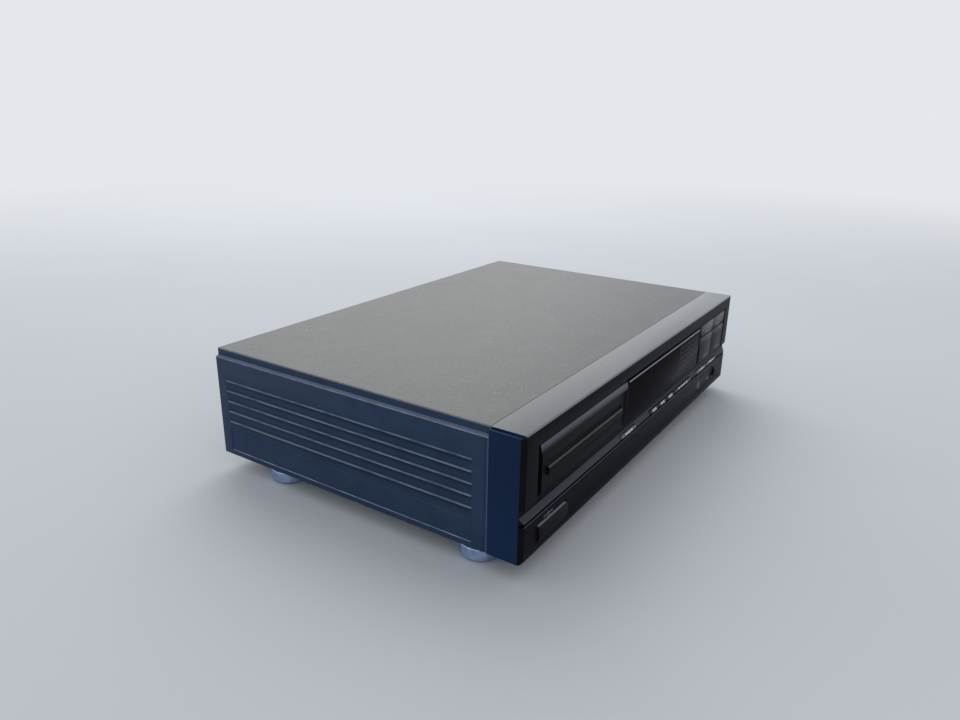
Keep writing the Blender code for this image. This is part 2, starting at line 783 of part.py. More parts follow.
def build_display_tube():
    """The flat glass tube behind the window, with its sealed tip."""
    left = window_left + TUBE_SIDE_INSET
    right = window_right - TUBE_SIDE_INSET
    high_z = face_top_z - TUBE_TOP_INSET
    back_y = FRONT_BOARD_SET_BACK - SLIP
    tube = box("display_tube", (left, right), (back_y - TUBE_DEPTH, back_y), (high_z - TUBE_HEIGHT, high_z))
    soften(tube, TUBE_EDGE)
    tip_at = (back_y - TUBE_DEPTH / 2, high_z - TUBE_HEIGHT / 2)
    tip_x = (right - TUBE_EDGE * 2, right + TUBE_TIP_LENGTH)
    tip = drum("tube_tip", TUBE_TIP_RADIUS, tip_x, tip_at, "X", steps=12)
    join(tube, tip)
    return paint(tube, "tube_glass")


build_display_tube()


def play_key_places():
    """Name, x limits and z limits of the four play keys."""
    split_z = face_top_z - PLAY_UPPER_HEIGHT
    rows = {"upper": (split_z, face_top_z), "lower": (hang_z, split_z - PLAY_KEY_GAP)}
    middle = (play_left + play_right) / 2
    half_gap = PLAY_KEY_GAP / 2
    columns = {"left": (play_left, middle - half_gap), "right": (middle + half_gap, play_right)}
    return [(f"play_key_{row}_{side}", x, z) for row, z in rows.items() for side, x in columns.items()]


def build_play_keys():
    """Four caps in the opening, each with a stem to its switch."""
    back_y = FACE_SET_BACK + PLAY_KEY_DEPTH
    stem_y = FRONT_BOARD_SET_BACK - TACT_DEPTH - PLAY_TRAVEL - SLIP
    for name, x, z in play_key_places():
        key = soften(box(name, x, (FACE_SET_BACK, back_y), z), PLAY_KEY_EDGE)
        centre = ((x[0] + x[1]) / 2, (z[0] + z[1]) / 2)
        stem_x = (centre[0] - STEM_SIDE / 2, centre[0] + STEM_SIDE / 2)
        stem_z = (centre[1] - STEM_SIDE / 2, centre[1] + STEM_SIDE / 2)
        join(key, box(name + "_stem", stem_x, (back_y - PLAY_KEY_EDGE * 2, stem_y), stem_z))
        paint(key, "key_plastic")


build_play_keys()


def strip_key_places():
    """Name and x limits of each key on the slope."""
    places = [("open_close_key", OPEN_KEY_LEFT, OPEN_KEY_WIDTH)]
    places += [
        (f"strip_key_{index + 1}", SMALL_KEY_LEFT + SMALL_KEY_PITCH * index, SMALL_KEY_WIDTH)
        for index in range(SMALL_KEYS)
    ]
    places.append(("long_key", LONG_KEY_LEFT, LONG_KEY_WIDTH))
    pitch = SKIP_KEY_WIDTH + SKIP_KEY_GAP
    for index in range(SKIP_KEYS):
        places.append((f"skip_key_{index + 1}", SKIP_KEY_LEFT + pitch * index, SKIP_KEY_WIDTH))
    return [(name, (left, left + width)) for name, left, width in places]


def build_strip_keys():
    """Keys that travel square to the slope, each in a well with a dark gap at its head and left."""
    along = (STRIP_KEY_TOE, STRIP_KEY_TOE + STRIP_KEY_HEIGHT)
    well_along = (along[0] - SLIP, along[1] + STRIP_WELL_HEAD)
    depth = (-STRIP_KEY_REACH, STRIP_KEY_PROUD)
    well_depth = (-STRIP_KEY_REACH - STRIP_TRAVEL - SLIP, STRIP_KEY_PROUD + OVERRUN)
    for name, x in strip_key_places():
        paint(soften(box(name, x, along, depth, strip), STRIP_KEY_EDGE), "key_plastic")
        well_x = (x[0] - STRIP_WELL_SIDE, x[1] + SLIP)
        cut(fascia, box(name + "_well", well_x, well_along, well_depth, strip))


build_strip_keys()


def build_power_key():
    """The power key with its rod, which pushes the switch near the back."""
    left = POWER_KEY_CHEEK - half_width
    right = left + POWER_KEY_WIDTH
    low_z = floor_z + POWER_KEY_SILL
    high_z = low_z + POWER_KEY_HEIGHT
    section = [
        (POWER_KEY_DEPTH, low_z),
        (-POWER_KEY_PROUD + POWER_KEY_SLOPE, low_z),
        (-POWER_KEY_PROUD, low_z + POWER_KEY_SLOPE * 2),
        (-POWER_KEY_PROUD, high_z - POWER_KEY_SLOPE * 2),
        (-POWER_KEY_PROUD + POWER_KEY_SLOPE, high_z),
        (POWER_KEY_DEPTH, high_z),
    ]
    key = slab("power_key", [section], "X", (left, right))
    middle_z = (low_z + high_z) / 2
    round_x = right - POWER_KEY_ROUND
    low_round = (round_x, low_z + POWER_KEY_ROUND)
    high_round = (round_x, high_z - POWER_KEY_ROUND)
    front = [
        (left - OVERRUN, low_z),
        *circle(POWER_KEY_ROUND, low_round, EDGE_STEPS, -math.pi / 2, math.pi / 2),
        *circle(POWER_KEY_ROUND, high_round, EDGE_STEPS, 0, math.pi / 2),
        (left - OVERRUN, high_z),
    ]
    span = (-POWER_KEY_PROUD - OVERRUN, POWER_KEY_DEPTH + OVERRUN)
    combine(key, "INTERSECT", slab("power_key_front", [front], "Y", span))
    well_z = (low_z - SLIP, high_z + SLIP)
    cut(fascia, box("power_well", (left - SLIP, right + SLIP), (-OVERRUN, FASCIA_WALL + OVERRUN), well_z))

    rod_x = (left + right) / 2
    rod_z = (middle_z - ROD_HEIGHT / 2, middle_z + ROD_HEIGHT / 2)
    rod_end = POWER_KEY_DEPTH + ROD_LENGTH
    rod_span = (rod_x - ROD_WIDTH / 2, rod_x + ROD_WIDTH / 2)
    rod = box("power_rod", rod_span, (POWER_KEY_DEPTH / 2, rod_end), rod_z)
    join(key, rod)
    paint(key, "key_plastic")

    plunger_y = rod_end + POWER_TRAVEL + SLIP
    switch_y = plunger_y + PLUNGER_LENGTH
    switch_x = (rod_x - SWITCH_WIDTH / 2, rod_x + SWITCH_WIDTH / 2)
    switch_z = (floor_top_z + SLIP, high_z + SWITCH_ABOVE)
    switch = box("power_switch", switch_x, (switch_y, switch_y + SWITCH_LENGTH), switch_z)
    plunger_span = (plunger_y, switch_y + PLUNGER_LENGTH)
    plunger = drum("switch_plunger", PLUNGER_RADIUS, plunger_span, (rod_x, middle_z), "Y", steps=12)
    join(switch, plunger)
    return paint(switch, "black_plastic")


build_power_key()


def build_phones_socket():
    """The headphone socket: a ring in the fascia on a square body, with a round bore."""
    at = (half_width - PHONES_FROM_RIGHT, floor_z + PHONES_HEIGHT)
    body_y = FASCIA_WALL + PHONES_BODY_SET_BACK
    half = PHONES_BODY_SIDE / 2
    body_end = FRONT_BOARD_SET_BACK - TACT_DEPTH - SLIP
    body_x = (at[0] - half, at[0] + half)
    body_z = (at[1] - half, at[1] + half)
    socket = box("phones_socket", body_x, (body_y, body_end), body_z)
    ring = drum("phones_ring", PHONES_RADIUS, (-PHONES_PROUD, body_y + PHONES_PROUD), at, "Y")
    join(socket, ring)
    cut(socket, drum("phones_bore", PHONES_BORE_RADIUS, (-OVERRUN, PHONES_BORE_DEPTH), at, "Y", steps=24))
    cut(fascia, drum("phones_hole", PHONES_RADIUS + SLIP, (-OVERRUN, FASCIA_WALL + OVERRUN), at, "Y"))
    return paint(socket, "black_plastic")


build_phones_socket()


def build_front_board():
    """The board behind the fascia with a switch behind each key."""
    x = (FRONT_BOARD_LEFT, half_width - FRONT_BOARD_SIDE_INSET)
    z = (floor_z + FRONT_BOARD_SILL, top_z - FRONT_BOARD_HEAD)
    board_y = (FRONT_BOARD_SET_BACK, FRONT_BOARD_SET_BACK + BOARD)
    board = box("front_board", x, board_y, z)
    tact_y = (FRONT_BOARD_SET_BACK - TACT_DEPTH, FRONT_BOARD_SET_BACK + BOARD / 2)
    half = TACT_SIDE / 2
    middle_along = STRIP_KEY_TOE + STRIP_KEY_HEIGHT / 2
    lean = math.atan2(NOTCH_DEPTH, STRIP_RISE)
    strip_z_end = strip_z + middle_along * math.cos(lean) - STRIP_KEY_REACH * math.sin(lean)
    places = [(name, sum(x_span) / 2, sum(z_span) / 2) for name, x_span, z_span in play_key_places()]
    places += [(name, sum(span) / 2, strip_z_end) for name, span in strip_key_places()]
    for name, centre_x, centre_z in places:
        tact_x = (centre_x - half, centre_x + half)
        join(board, box("tact_" + name, tact_x, tact_y, (centre_z - half, centre_z + half)))
    return paint(board, "board")


build_front_board()


def build_chassis():
    """The folded pan: floor with vents, side flanges, a front lip and the main board's standoffs."""
    x = (SHEET + SLIP - half_width, half_width - SHEET - SLIP)
    y = (cover_front_y, rear_panel_y + SHEET)
    flange_z = floor_z + CHASSIS_FLANGE
    section = [
        (x[0], flange_z),
        (x[0], floor_z),
        (x[1], floor_z),
        (x[1], flange_z),
        (x[1] - SHEET, flange_z),
        (x[1] - SHEET, floor_top_z),
        (x[0] + SHEET, floor_top_z),
        (x[0] + SHEET, flange_z),
    ]
    chassis = slab("bottom_chassis", [section], "Y", y)
    vent_y = (y[1] - VENT_REAR_INSET - VENT_LENGTH, y[1] - VENT_REAR_INSET)
    vents = []
    for index in range(VENTS):
        right = x[1] - VENT_SIDE_INSET - VENT_PITCH * index
        vents.append(rectangle((right - VENT_WIDTH, right), vent_y))
    cut(chassis, slab("chassis_vents", vents, "Z", (floor_z - OVERRUN, floor_top_z + OVERRUN)))
    low = floor_z + SHEET / 2
    lip_x = (x[0] + SHEET / 2, x[1] - SHEET / 2)
    join(chassis, box("chassis_lip", lip_x, (y[0], y[0] + SHEET), (low, floor_z + CHASSIS_LIP)))
    board_x = (MAIN_BOARD_LEFT + STANDOFF_INSET, half_width - MAIN_BOARD_SIDE_INSET - STANDOFF_INSET)
    board_y = (MAIN_BOARD_FRONT + STANDOFF_INSET, rear_panel_y - MAIN_BOARD_REAR_INSET - STANDOFF_INSET)
    columns = (board_x[0], (board_x[0] + board_x[1]) / 2, board_x[1])
    reach = (low, floor_z + MAIN_BOARD_HEIGHT - SLIP)
    for column, place_x in enumerate(columns):
        for row, place_y in enumerate(board_y):
            name = f"standoff_{column}{row}"
            join(chassis, drum(name, STANDOFF_RADIUS, reach, (place_x, place_y), steps=12))
    return paint(chassis, "zinc")


build_chassis()


def screw_places():
    """x of each screw in the cover's rear lip."""
    spread = 2 * (half_width - SCREW_SIDE_INSET)
    return [spread * (index / (SCREWS - 1) - 1 / 2) for index in range(SCREWS)]


screw_z = top_z - SCREW_BELOW_TOP


def build_cover():
    """The folded cover: a joggled section, a ribbed field on each side and a lip at the back."""
    ledge_z = top_z - COVER_BAND
    outer = [
        (half_width, floor_z),
        (half_width, ledge_z - COVER_CHAMFER),
        (half_width - COVER_INSET, ledge_z),
        (half_width - COVER_INSET, top_z - COVER_BEND),
        (half_width - COVER_INSET - COVER_BEND, top_z),
    ]
    inner = [
        (half_width - COVER_INSET - SHEET, top_z - SHEET),
        (half_width - COVER_INSET - SHEET, ledge_z - SHEET / 2),
        (half_width - SHEET, ledge_z - COVER_CHAMFER - SHEET / 2),
        (half_width - SHEET, floor_z),
    ]
    mirrored = [[(-x, z) for x, z in reversed(side)] for side in (outer, inner)]
    section = outer + mirrored[0] + mirrored[1] + inner
    cover = slab("top_cover", [section], "Y", (cover_front_y, CASE_DEPTH))

    field_y = (cover_front_y + FIELD_FRONT_INSET, CASE_DEPTH - FIELD_REAR_INSET)
    field_z = (floor_z + FIELD_BOTTOM, floor_z + RIB_TOP)
    base_x = half_width - FIELD_DEPTH
    for side, name in ((-1, "left"), (1, "right")):
        limits = sorted((base_x * side, (half_width + OVERRUN) * side))
        cut(cover, box("cover_field_" + name, limits, field_y, field_z))
        land = sorted(((half_width - COVER_FRONT_STEP) * side, (half_width + OVERRUN) * side))
        land_y = (cover_front_y - OVERRUN, cover_front_y + COVER_FRONT_LAND)
        cut(cover, box("cover_land_" + name, land, land_y, (floor_z - OVERRUN, ledge_z)))
        for index in range(RIBS):
            rib_z = floor_z + RIB_TOP - RIB_PITCH * index
            proud_x = half_width + RIB_PROUD
            root_x = base_x - SHEET / 4
            rib = [
                (root_x * side, rib_z),
                (proud_x * side, rib_z),
                (proud_x * side, rib_z - RIB_EDGE),
                (base_x * side, rib_z - RIB_FALL),
                (root_x * side, rib_z - RIB_FALL),
            ]
            join(cover, slab(f"cover_rib_{name}_{index + 1}", [rib], "Y", field_y))

    lip_x = half_width - COVER_INSET - SHEET / 2
    lip_y = (CASE_DEPTH - COVER_LIP_INSET - SHEET, CASE_DEPTH - COVER_LIP_INSET)
    holes = [circle(SCREW_SHANK_RADIUS + SLIP, (x, screw_z), 16) for x in screw_places()]
    lip_plan = rectangle((-lip_x, lip_x), (top_z - COVER_LIP, top_z - SHEET / 2))
    lip = slab("cover_lip", [lip_plan, *holes], "Y", lip_y)
    join(cover, lip)
    return paint(cover, "cover_paint")


build_cover()


def build_rear_panel():
    """The steel back with its cut-outs, just inside the cover."""
    side_x = half_width - SHEET - SLIP
    top_x = half_width - COVER_INSET - SHEET - SLIP
    shoulder_z = top_z - COVER_BAND - COVER_CHAMFER - SHEET
    outline = [
        (-side_x + SHEET + SLIP, floor_top_z + SLIP),
        (side_x - SHEET - SLIP, floor_top_z + SLIP),
        (side_x - SHEET - SLIP, floor_z + CHASSIS_FLANGE + SLIP),
        (side_x, floor_z + CHASSIS_FLANGE + SLIP),
        (side_x, shoulder_z),
        (top_x, shoulder_z),
        (top_x, top_z - SHEET - SLIP),
        (-top_x, top_z - SHEET - SLIP),
        (-top_x, shoulder_z),
        (-side_x, shoulder_z),
        (-side_x, floor_z + CHASSIS_FLANGE + SLIP),
        (-side_x + SHEET + SLIP, floor_z + CHASSIS_FLANGE + SLIP),
    ]
    socket_z = floor_z + SOCKET_HEIGHT
    phono_x = (LINE_OUT_X - PHONO_PITCH / 2, LINE_OUT_X + PHONO_PITCH / 2, DIGITAL_OUT_X)
    loops = [outline]
    loops += [circle(PHONO_RADIUS + SLIP, (x, socket_z), 24) for x in phono_x]
    inlet_x = INLET_FROM_LEFT - half_width
    half = INLET_WIDTH / 2 + SLIP
    tall = INLET_TALL / 2 + SLIP
    loops.append(rectangle((inlet_x - half, inlet_x + half), (socket_z - tall, socket_z + tall)))
    loops += [circle(SCREW_SHANK_RADIUS + SLIP, (x, screw_z), 16) for x in screw_places()]
    return paint(slab("rear_panel", loops, "Y", (rear_panel_y, rear_panel_y + SHEET)), "cover_paint")


build_rear_panel()


def build_cover_screws():
    """Pan-head screws through the cover's lip into the rear panel."""
    seat_y = CASE_DEPTH - COVER_LIP_INSET + SLIP
    profile = [
        (0, SCREW_HEAD_HEIGHT),
        (SCREW_HEAD_RADIUS * math.cos(math.pi / 4), SCREW_HEAD_HEIGHT),
        (SCREW_HEAD_RADIUS, SCREW_HEAD_HEIGHT / 2),
        (SCREW_HEAD_RADIUS, 0),
        (SCREW_SHANK_RADIUS, 0),
        (SCREW_SHANK_RADIUS, -SCREW_SHANK_LENGTH),
        (0, -SCREW_SHANK_LENGTH),
    ]
    for index, x in enumerate(screw_places()):
        paint(turned(f"cover_screw_{index + 1}", profile, (x, seat_y, screw_z), "Y", steps=16), "zinc")


build_cover_screws()


def phono(name, x, body):
    """One phono barrel with its flange, standing on a body inside the rear panel."""
    panel_out = rear_panel_y + SHEET
    root_y = rear_panel_y - SLIP - PHONO_FLANGE
    profile = [
        (PHONO_RADIUS, panel_out + PHONO_PROUD - root_y),
        (PHONO_RADIUS, 0),
        (PHONO_BORE_RADIUS, 0),
        (PHONO_BORE_RADIUS, panel_out + PHONO_PROUD - root_y),
    ]
    barrel = turned(name + "_barrel", profile, (x, root_y, floor_z + SOCKET_HEIGHT), "Y", steps=16)
    flange_y = panel_out + SLIP
    flange_profile = [
        (PHONO_FLANGE_RADIUS, PHONO_FLANGE),
        (PHONO_FLANGE_RADIUS, 0),
        (PHONO_RADIUS - SLIP, 0),
        (PHONO_RADIUS - SLIP, PHONO_FLANGE),
    ]
    flange = turned(name + "_flange", flange_profile, (x, flange_y, floor_z + SOCKET_HEIGHT), "Y", steps=16)
    return join(body, barrel, flange)


def build_phono_sockets():
    """The stereo line output and the digital output."""
    socket_z = floor_z + SOCKET_HEIGHT
    half = PHONO_BODY_SIDE / 2
    body_y = (rear_panel_y - SLIP - PHONO_BODY_DEPTH, rear_panel_y - SLIP)
    pair_half = PHONO_PITCH / 2
    pair_x = (LINE_OUT_X - pair_half - half, LINE_OUT_X + pair_half + half)
    pair = box("line_out_sockets", pair_x, body_y, (socket_z - half, socket_z + half))
    phono("line_out_left", LINE_OUT_X - pair_half, pair)
    phono("line_out_right", LINE_OUT_X + pair_half, pair)
    paint(pair, "black_plastic")
    single_x = (DIGITAL_OUT_X - half, DIGITAL_OUT_X + half)
    single = box("digital_out_socket", single_x, body_y, (socket_z - half, socket_z + half))
    phono("digital_out", DIGITAL_OUT_X, single)
    paint(single, "black_plastic")


build_phono_sockets()


def build_mains_inlet():
    """The two-pole inlet: a figure-eight recess with two pins."""
    at_x = INLET_FROM_LEFT - half_width
    at_z = floor_z + SOCKET_HEIGHT
    rear_y = rear_panel_y + SHEET + INLET_PROUD
    front = rear_panel_y - INLET_DEPTH
    half = INLET_WIDTH / 2
    tall = INLET_TALL / 2
    inlet = box("mains_inlet", (at_x - half, at_x + half), (front, rear_y), (at_z - tall, at_z + tall))
    pin_x = INLET_PIN_PITCH / 2
    ends = [
        *circle(INLET_RECESS_RADIUS, (pin_x, 0), ROUND // 2, -math.pi / 2, math.pi),
        *circle(INLET_RECESS_RADIUS, (-pin_x, 0), ROUND // 2, math.pi / 2, math.pi),
    ]
    recess_y = (rear_y - INLET_RECESS_DEPTH, rear_y + OVERRUN)
    cut(inlet, slab("inlet_recess", [ends], "Y", recess_y, (at_x, at_z)))
    pin_y = (rear_y - INLET_RECESS_DEPTH - INLET_PIN_RADIUS, rear_y - INLET_RECESS_DEPTH + INLET_PIN_LENGTH)
    for side, name in ((-pin_x, "left"), (pin_x, "right")):
        join(inlet, drum("inlet_pin_" + name, INLET_PIN_RADIUS, pin_y, (at_x + side, at_z), "Y", steps=12))
    return paint(inlet, "black_plastic")


build_mains_inlet()


def build_main_board():
    """The main board on its standoffs, with the heat sink and the filter capacitors."""
    x = (MAIN_BOARD_LEFT, half_width - MAIN_BOARD_SIDE_INSET)
    y = (MAIN_BOARD_FRONT, rear_panel_y - MAIN_BOARD_REAR_INSET)
    low_z = floor_z + MAIN_BOARD_HEIGHT
    paint(box("main_board", x, y, (low_z, low_z + BOARD)), "board")
    seat = low_z + BOARD + SLIP
    sink_y = y[1] - SINK_REAR_INSET
    pitch = (HEAT_SINK_WIDTH - FIN_THICKNESS) / (HEAT_SINK_FINS - 1)
    comb = [(HEAT_SINK_WIDTH, 0), (0, 0)]
    for index in range(HEAT_SINK_FINS):
        left = pitch * index
        right = left + FIN_THICKNESS
        comb += [(left, HEAT_SINK_DEPTH), (right, HEAT_SINK_DEPTH)]
        if index < HEAT_SINK_FINS - 1:
            comb += [(right, HEAT_SINK_BACK), (left + pitch, HEAT_SINK_BACK)]
    sink_z = (seat, seat + HEAT_SINK_HEIGHT)
    paint(slab("heat_sink", [comb], "Z", sink_z, (HEAT_SINK_LEFT, sink_y)), "aluminium")
    can = [
        (0, CAPACITOR_HEIGHT),
        (CAPACITOR_RADIUS - CAPACITOR_EDGE, CAPACITOR_HEIGHT),
        (CAPACITOR_RADIUS, CAPACITOR_HEIGHT - CAPACITOR_EDGE),
        (CAPACITOR_RADIUS, 0),
        (0, 0),
    ]
    for index in range(CAPACITORS):
        at = (CAPACITOR_LEFT + CAPACITOR_PITCH * index, sink_y + CAPACITOR_RADIUS, seat)
        paint(turned(f"filter_capacitor_{index + 1}", can, at, steps=24), "sleeve")
    return low_z + BOARD


main_board_top = build_main_board()


def build_flat_cable():
    """The ribbon from the front board down to the main board, held at both ends."""
    start_y = FRONT_BOARD_SET_BACK + BOARD + SLIP
    end_y = MAIN_BOARD_FRONT + CABLE_LANDING
    start_z = floor_z + CABLE_TOP
    end_z = main_board_top + SLIP
    steps = 8
    under = []
    for step in range(steps + 1):
        share = step / steps
        ease = (1 - math.cos(math.pi * share)) / 2
        under.append((start_y + (end_y - start_y) * share, start_z + (end_z - start_z) * ease))
    over = [(y, z + CABLE_THICKNESS) for y, z in reversed(under)]
    cable = slab("flat_cable", [under + over], "X", (CABLE_LEFT, CABLE_LEFT + CABLE_WIDTH))
    return paint(cable, "cable_grey")


build_flat_cable()


def build_transformer():
    """The mains transformer: a laminated core with its winding, on a flanged foot."""
    left = loader_x - TRANSFORMER_WIDTH / 2
    right = left + TRANSFORMER_WIDTH
    back = rear_panel_y - TRANSFORMER_REAR_INSET + TRANSFORMER_FOOT
    y = (back - TRANSFORMER_LENGTH, back)
    low_z = floor_top_z + SLIP
    core_z = (low_z + TRANSFORMER_BASE, low_z + TRANSFORMER_BASE + TRANSFORMER_HEIGHT)
    core = box("mains_transformer", (left, right), y, core_z)
    middle = ((left + right) / 2, (core_z[0] + core_z[1]) / 2)
    coil_half_x = TRANSFORMER_WIDTH * COIL_SHARE / 2
    coil_half_z = TRANSFORMER_HEIGHT * COIL_SHARE / 2
    coil_x = (middle[0] - coil_half_x, middle[0] + coil_half_x)
    coil_z = (middle[1] - coil_half_z, middle[1] + coil_half_z)
    coil = box("transformer_coil", coil_x, (y[0] - COIL_OVERHANG, y[1] + COIL_OVERHANG), coil_z)
    soften(coil, COIL_EDGE, 3)
    foot_x = (left - TRANSFORMER_FOOT, right + TRANSFORMER_FOOT)
    foot_y = (y[0] + TRANSFORMER_BASE, y[1] - TRANSFORMER_BASE)
    foot = box("transformer_foot", foot_x, foot_y, (low_z, core_z[0] + TRANSFORMER_FOOT))
    join(core, coil, foot)
    return paint(core, "copper")


build_transformer()


def build_feet():
    """Four ring feet, each on a rubber pad."""
    ring_z = FOOT_HEIGHT - SLIP
    shoulder_z = ring_z - FOOT_NECK_HEIGHT
    pocket_radius = PAD_RADIUS + SLIP
    ring = [
        (0, ring_z),
        (FOOT_NECK_RADIUS, ring_z),
        (FOOT_NECK_RADIUS, shoulder_z),
        (FOOT_RADIUS - FOOT_EDGE, shoulder_z),
        (FOOT_RADIUS, shoulder_z - FOOT_EDGE),
        (FOOT_RADIUS, PAD_SHOW + FOOT_EDGE),
        (FOOT_RADIUS - FOOT_EDGE, PAD_SHOW),
        (pocket_radius, PAD_SHOW),
        (pocket_radius, PAD_HEIGHT + SLIP),
        (0, PAD_HEIGHT + SLIP),
    ]
    pad = [
        (0, PAD_HEIGHT),
        (PAD_RADIUS, PAD_HEIGHT),
        (PAD_RADIUS, PAD_EDGE),
        (PAD_RADIUS - PAD_EDGE, 0),
        (0, 0),
    ]
    foot_x = half_width - FOOT_SIDE_INSET
    for depth_name, y in (("front", FOOT_FRONT_INSET), ("rear", CASE_DEPTH - FOOT_REAR_INSET)):
        for side_name, x in (("left", -foot_x), ("right", foot_x)):
            paint(turned(f"foot_{depth_name}_{side_name}", ring, (x, y, 0), steps=24), "foot_silver")
            paint(turned(f"foot_pad_{depth_name}_{side_name}", pad, (x, y, 0), steps=24), "rubber")


build_feet()


def gear_loop(teeth, first_angle):
    """A spur gear's outline with involute flanks, one tooth centred on first_angle."""
    pitch_radius = MODULE * teeth / 2
    base_radius = pitch_radius * math.cos(PRESSURE_ANGLE)
    tip_radius = pitch_radius + MODULE * ADDENDUM_SHARE
    root_radius = pitch_radius - MODULE * DEDENDUM_SHARE
    involute = math.tan(PRESSURE_ANGLE) - PRESSURE_ANGLE
    half_tooth = math.pi / (2 * teeth) - BACKLASH / (4 * pitch_radius)
    start = max(base_radius, root_radius)
    flank = [(root_radius, half_tooth + involute)] if root_radius < base_radius else []
    for step in range(FLANK_STEPS + 1):
        radius = start + (tip_radius - start) * step / FLANK_STEPS
        roll = math.acos(min(base_radius / radius, 1))
        flank.append((radius, half_tooth + involute - (math.tan(roll) - roll)))
    points = []
    for tooth in range(teeth):
        centre = first_angle + 2 * math.pi * tooth / teeth
        rising = [(radius, centre - angle) for radius, angle in flank]
        falling = [(radius, centre + angle) for radius, angle in reversed(flank)]
        points += [(radius * math.cos(angle), radius * math.sin(angle)) for radius, angle in rising + falling]
    return points


def rack_loop():
    """The rack's outline in (x, y), with a tooth space facing the tray gear's middle."""
    pitch = math.pi * MODULE
    addendum = MODULE * ADDENDUM_SHARE
    dedendum = MODULE * DEDENDUM_SHARE
    half_tooth = pitch / 4 - BACKLASH / 4
    lean = math.tan(PRESSURE_ANGLE)
    first = -int((GEAR_FROM_FRONT - RACK_FRONT) / pitch)
    last = int((tray_rear_y - GEAR_FROM_FRONT) / pitch) - 1
    back_x = rack_x + dedendum + RACK_BACK
    root_x = rack_x + dedendum
    tip_x = rack_x - addendum
    low_y = GEAR_FROM_FRONT + first * pitch
    high_y = GEAR_FROM_FRONT + (last + 1) * pitch
    points = [(back_x, high_y), (back_x, low_y), (root_x, low_y)]
    for index in range(first, last + 1):
        centre = GEAR_FROM_FRONT + (index + 1 / 2) * pitch
        root_half = half_tooth + dedendum * lean
        tip_half = half_tooth - addendum * lean
        points += [(root_x, centre - root_half), (tip_x, centre - tip_half)]
        points += [(tip_x, centre + tip_half), (root_x, centre + root_half)]
    points.append((root_x, high_y))
    return points


def build_tray():
    """The disc tray: a plate with a round recess, a slot open to the back, skirts and the rack."""
    edge = tray_half_width
    slot = SLOT_HALF_WIDTH
    arc = circle(slot, (0, disc_y), SLOT_STEPS, 0, -math.pi)
    plan = [
        (-edge, tray_front_y),
        (edge, tray_front_y),
        (edge, tray_rear_y),
        (slot, tray_rear_y),
        *arc,
        (-slot, tray_rear_y),
        (-edge, tray_rear_y),
    ]
    tray = slab("disc_tray", [plan], "Z", (tray_under_z, tray_rim_z), parent=loader)
    recess_z = (tray_rim_z - TRAY_RECESS, tray_rim_z + OVERRUN)
    recess = drum("tray_recess", DISC_RECESS_RADIUS, recess_z, (0, disc_y), parent=loader, steps=RECESS_STEPS)
    cut(tray, recess)
    long = (tray_front_y, tray_rear_y)
    skirt_span = (skirt_z, tray_under_z + TRAY_RECESS / 2)
    join(tray, box("tray_skirt_left", (-edge, SKIRT_THICKNESS - edge), long, skirt_span, loader))
    join(tray, box("tray_skirt_right", (edge - SKIRT_THICKNESS, edge), long, skirt_span, loader))
    join(tray, slab("tray_rack", [rack_loop()], "Z", (gear_z, tray_under_z + TRAY_RECESS / 4), parent=loader))
    return paint(tray, "black_plastic")


build_tray()


def build_drive():
    """Tray gear, drive pulley with its pinion, belt, motor pulley and motor."""
    bore = circle(POST_RADIUS + SLIP, steps=16)
    gear_at = (gear_x, GEAR_FROM_FRONT)
    gear = slab("tray_gear", [gear_loop(GEAR_TEETH, 0), bore], "Z", (gear_z, gear_top_z), gear_at, loader)
    hub_span = (frame_top_z + SLIP, gear_z + GEAR_THICKNESS / 4)
    hub = slab("tray_gear_hub", [circle(HUB_RADIUS, steps=16), bore], "Z", hub_span, gear_at, loader)
    paint(join(gear, hub), "white_plastic")

    pinion_at = (pinion_x, GEAR_FROM_FRONT)
    drive = pulley("drive_pulley", DRIVE_PULLEY_RADIUS, POST_RADIUS + SLIP, pinion_at)
    pinion_span = (pulley_z + PULLEY_HEIGHT / 2, gear_top_z)
    first = math.pi / PINION_TEETH
    pinion = slab("drive_pinion", [gear_loop(PINION_TEETH, first), bore], "Z", pinion_span, pinion_at, loader)
    paint(join(drive, pinion), "white_plastic")

    motor_at = (-MOTOR_FROM_CENTRE, GEAR_FROM_FRONT)
    paint(pulley("motor_pulley", MOTOR_PULLEY_RADIUS, MOTOR_SHAFT_RADIUS + SLIP, motor_at), "white_plastic")
    motor_z = (frame_under_z - SLIP - MOTOR_LENGTH, frame_under_z - SLIP)
    motor = drum("loading_motor", MOTOR_RADIUS, motor_z, motor_at, parent=loader)
    shaft_span = (motor_z[1] - MOTOR_SHAFT_RADIUS, pulley_z + PULLEY_HEIGHT)
    join(motor, drum("motor_shaft", MOTOR_SHAFT_RADIUS, shaft_span, motor_at, parent=loader, steps=16))
    paint(motor, "aluminium")

    half_belt = BELT / 2
    loops = [belt_loop(half_belt), belt_loop(-half_belt)]
    belt = slab("drive_belt", loops, "Z", (belt_z - half_belt, belt_z + half_belt), parent=loader)
    return paint(belt, "rubber")


def pulley(name, radius, bore_radius, at):
    """A grooved pulley. Its radius is that of the belt's middle."""
    groove_half = BELT / 2 + SLIP
    middle = PULLEY_HEIGHT / 2
    groove_radius = radius - BELT / 2 - SLIP
    profile = [
        (radius + PULLEY_RIM, PULLEY_HEIGHT),
        (radius + PULLEY_RIM, middle + groove_half + SLIP),
        (groove_radius, middle + groove_half),
        (groove_radius, middle - groove_half),
        (radius + PULLEY_RIM, middle - groove_half - SLIP),
        (radius + PULLEY_RIM, 0),
        (bore_radius, 0),
        (bore_radius, PULLEY_HEIGHT),
    ]
    steps = 16 if radius < DRIVE_PULLEY_RADIUS else ROUND
    return turned(name, profile, (*at, pulley_z), parent=loader, steps=steps)


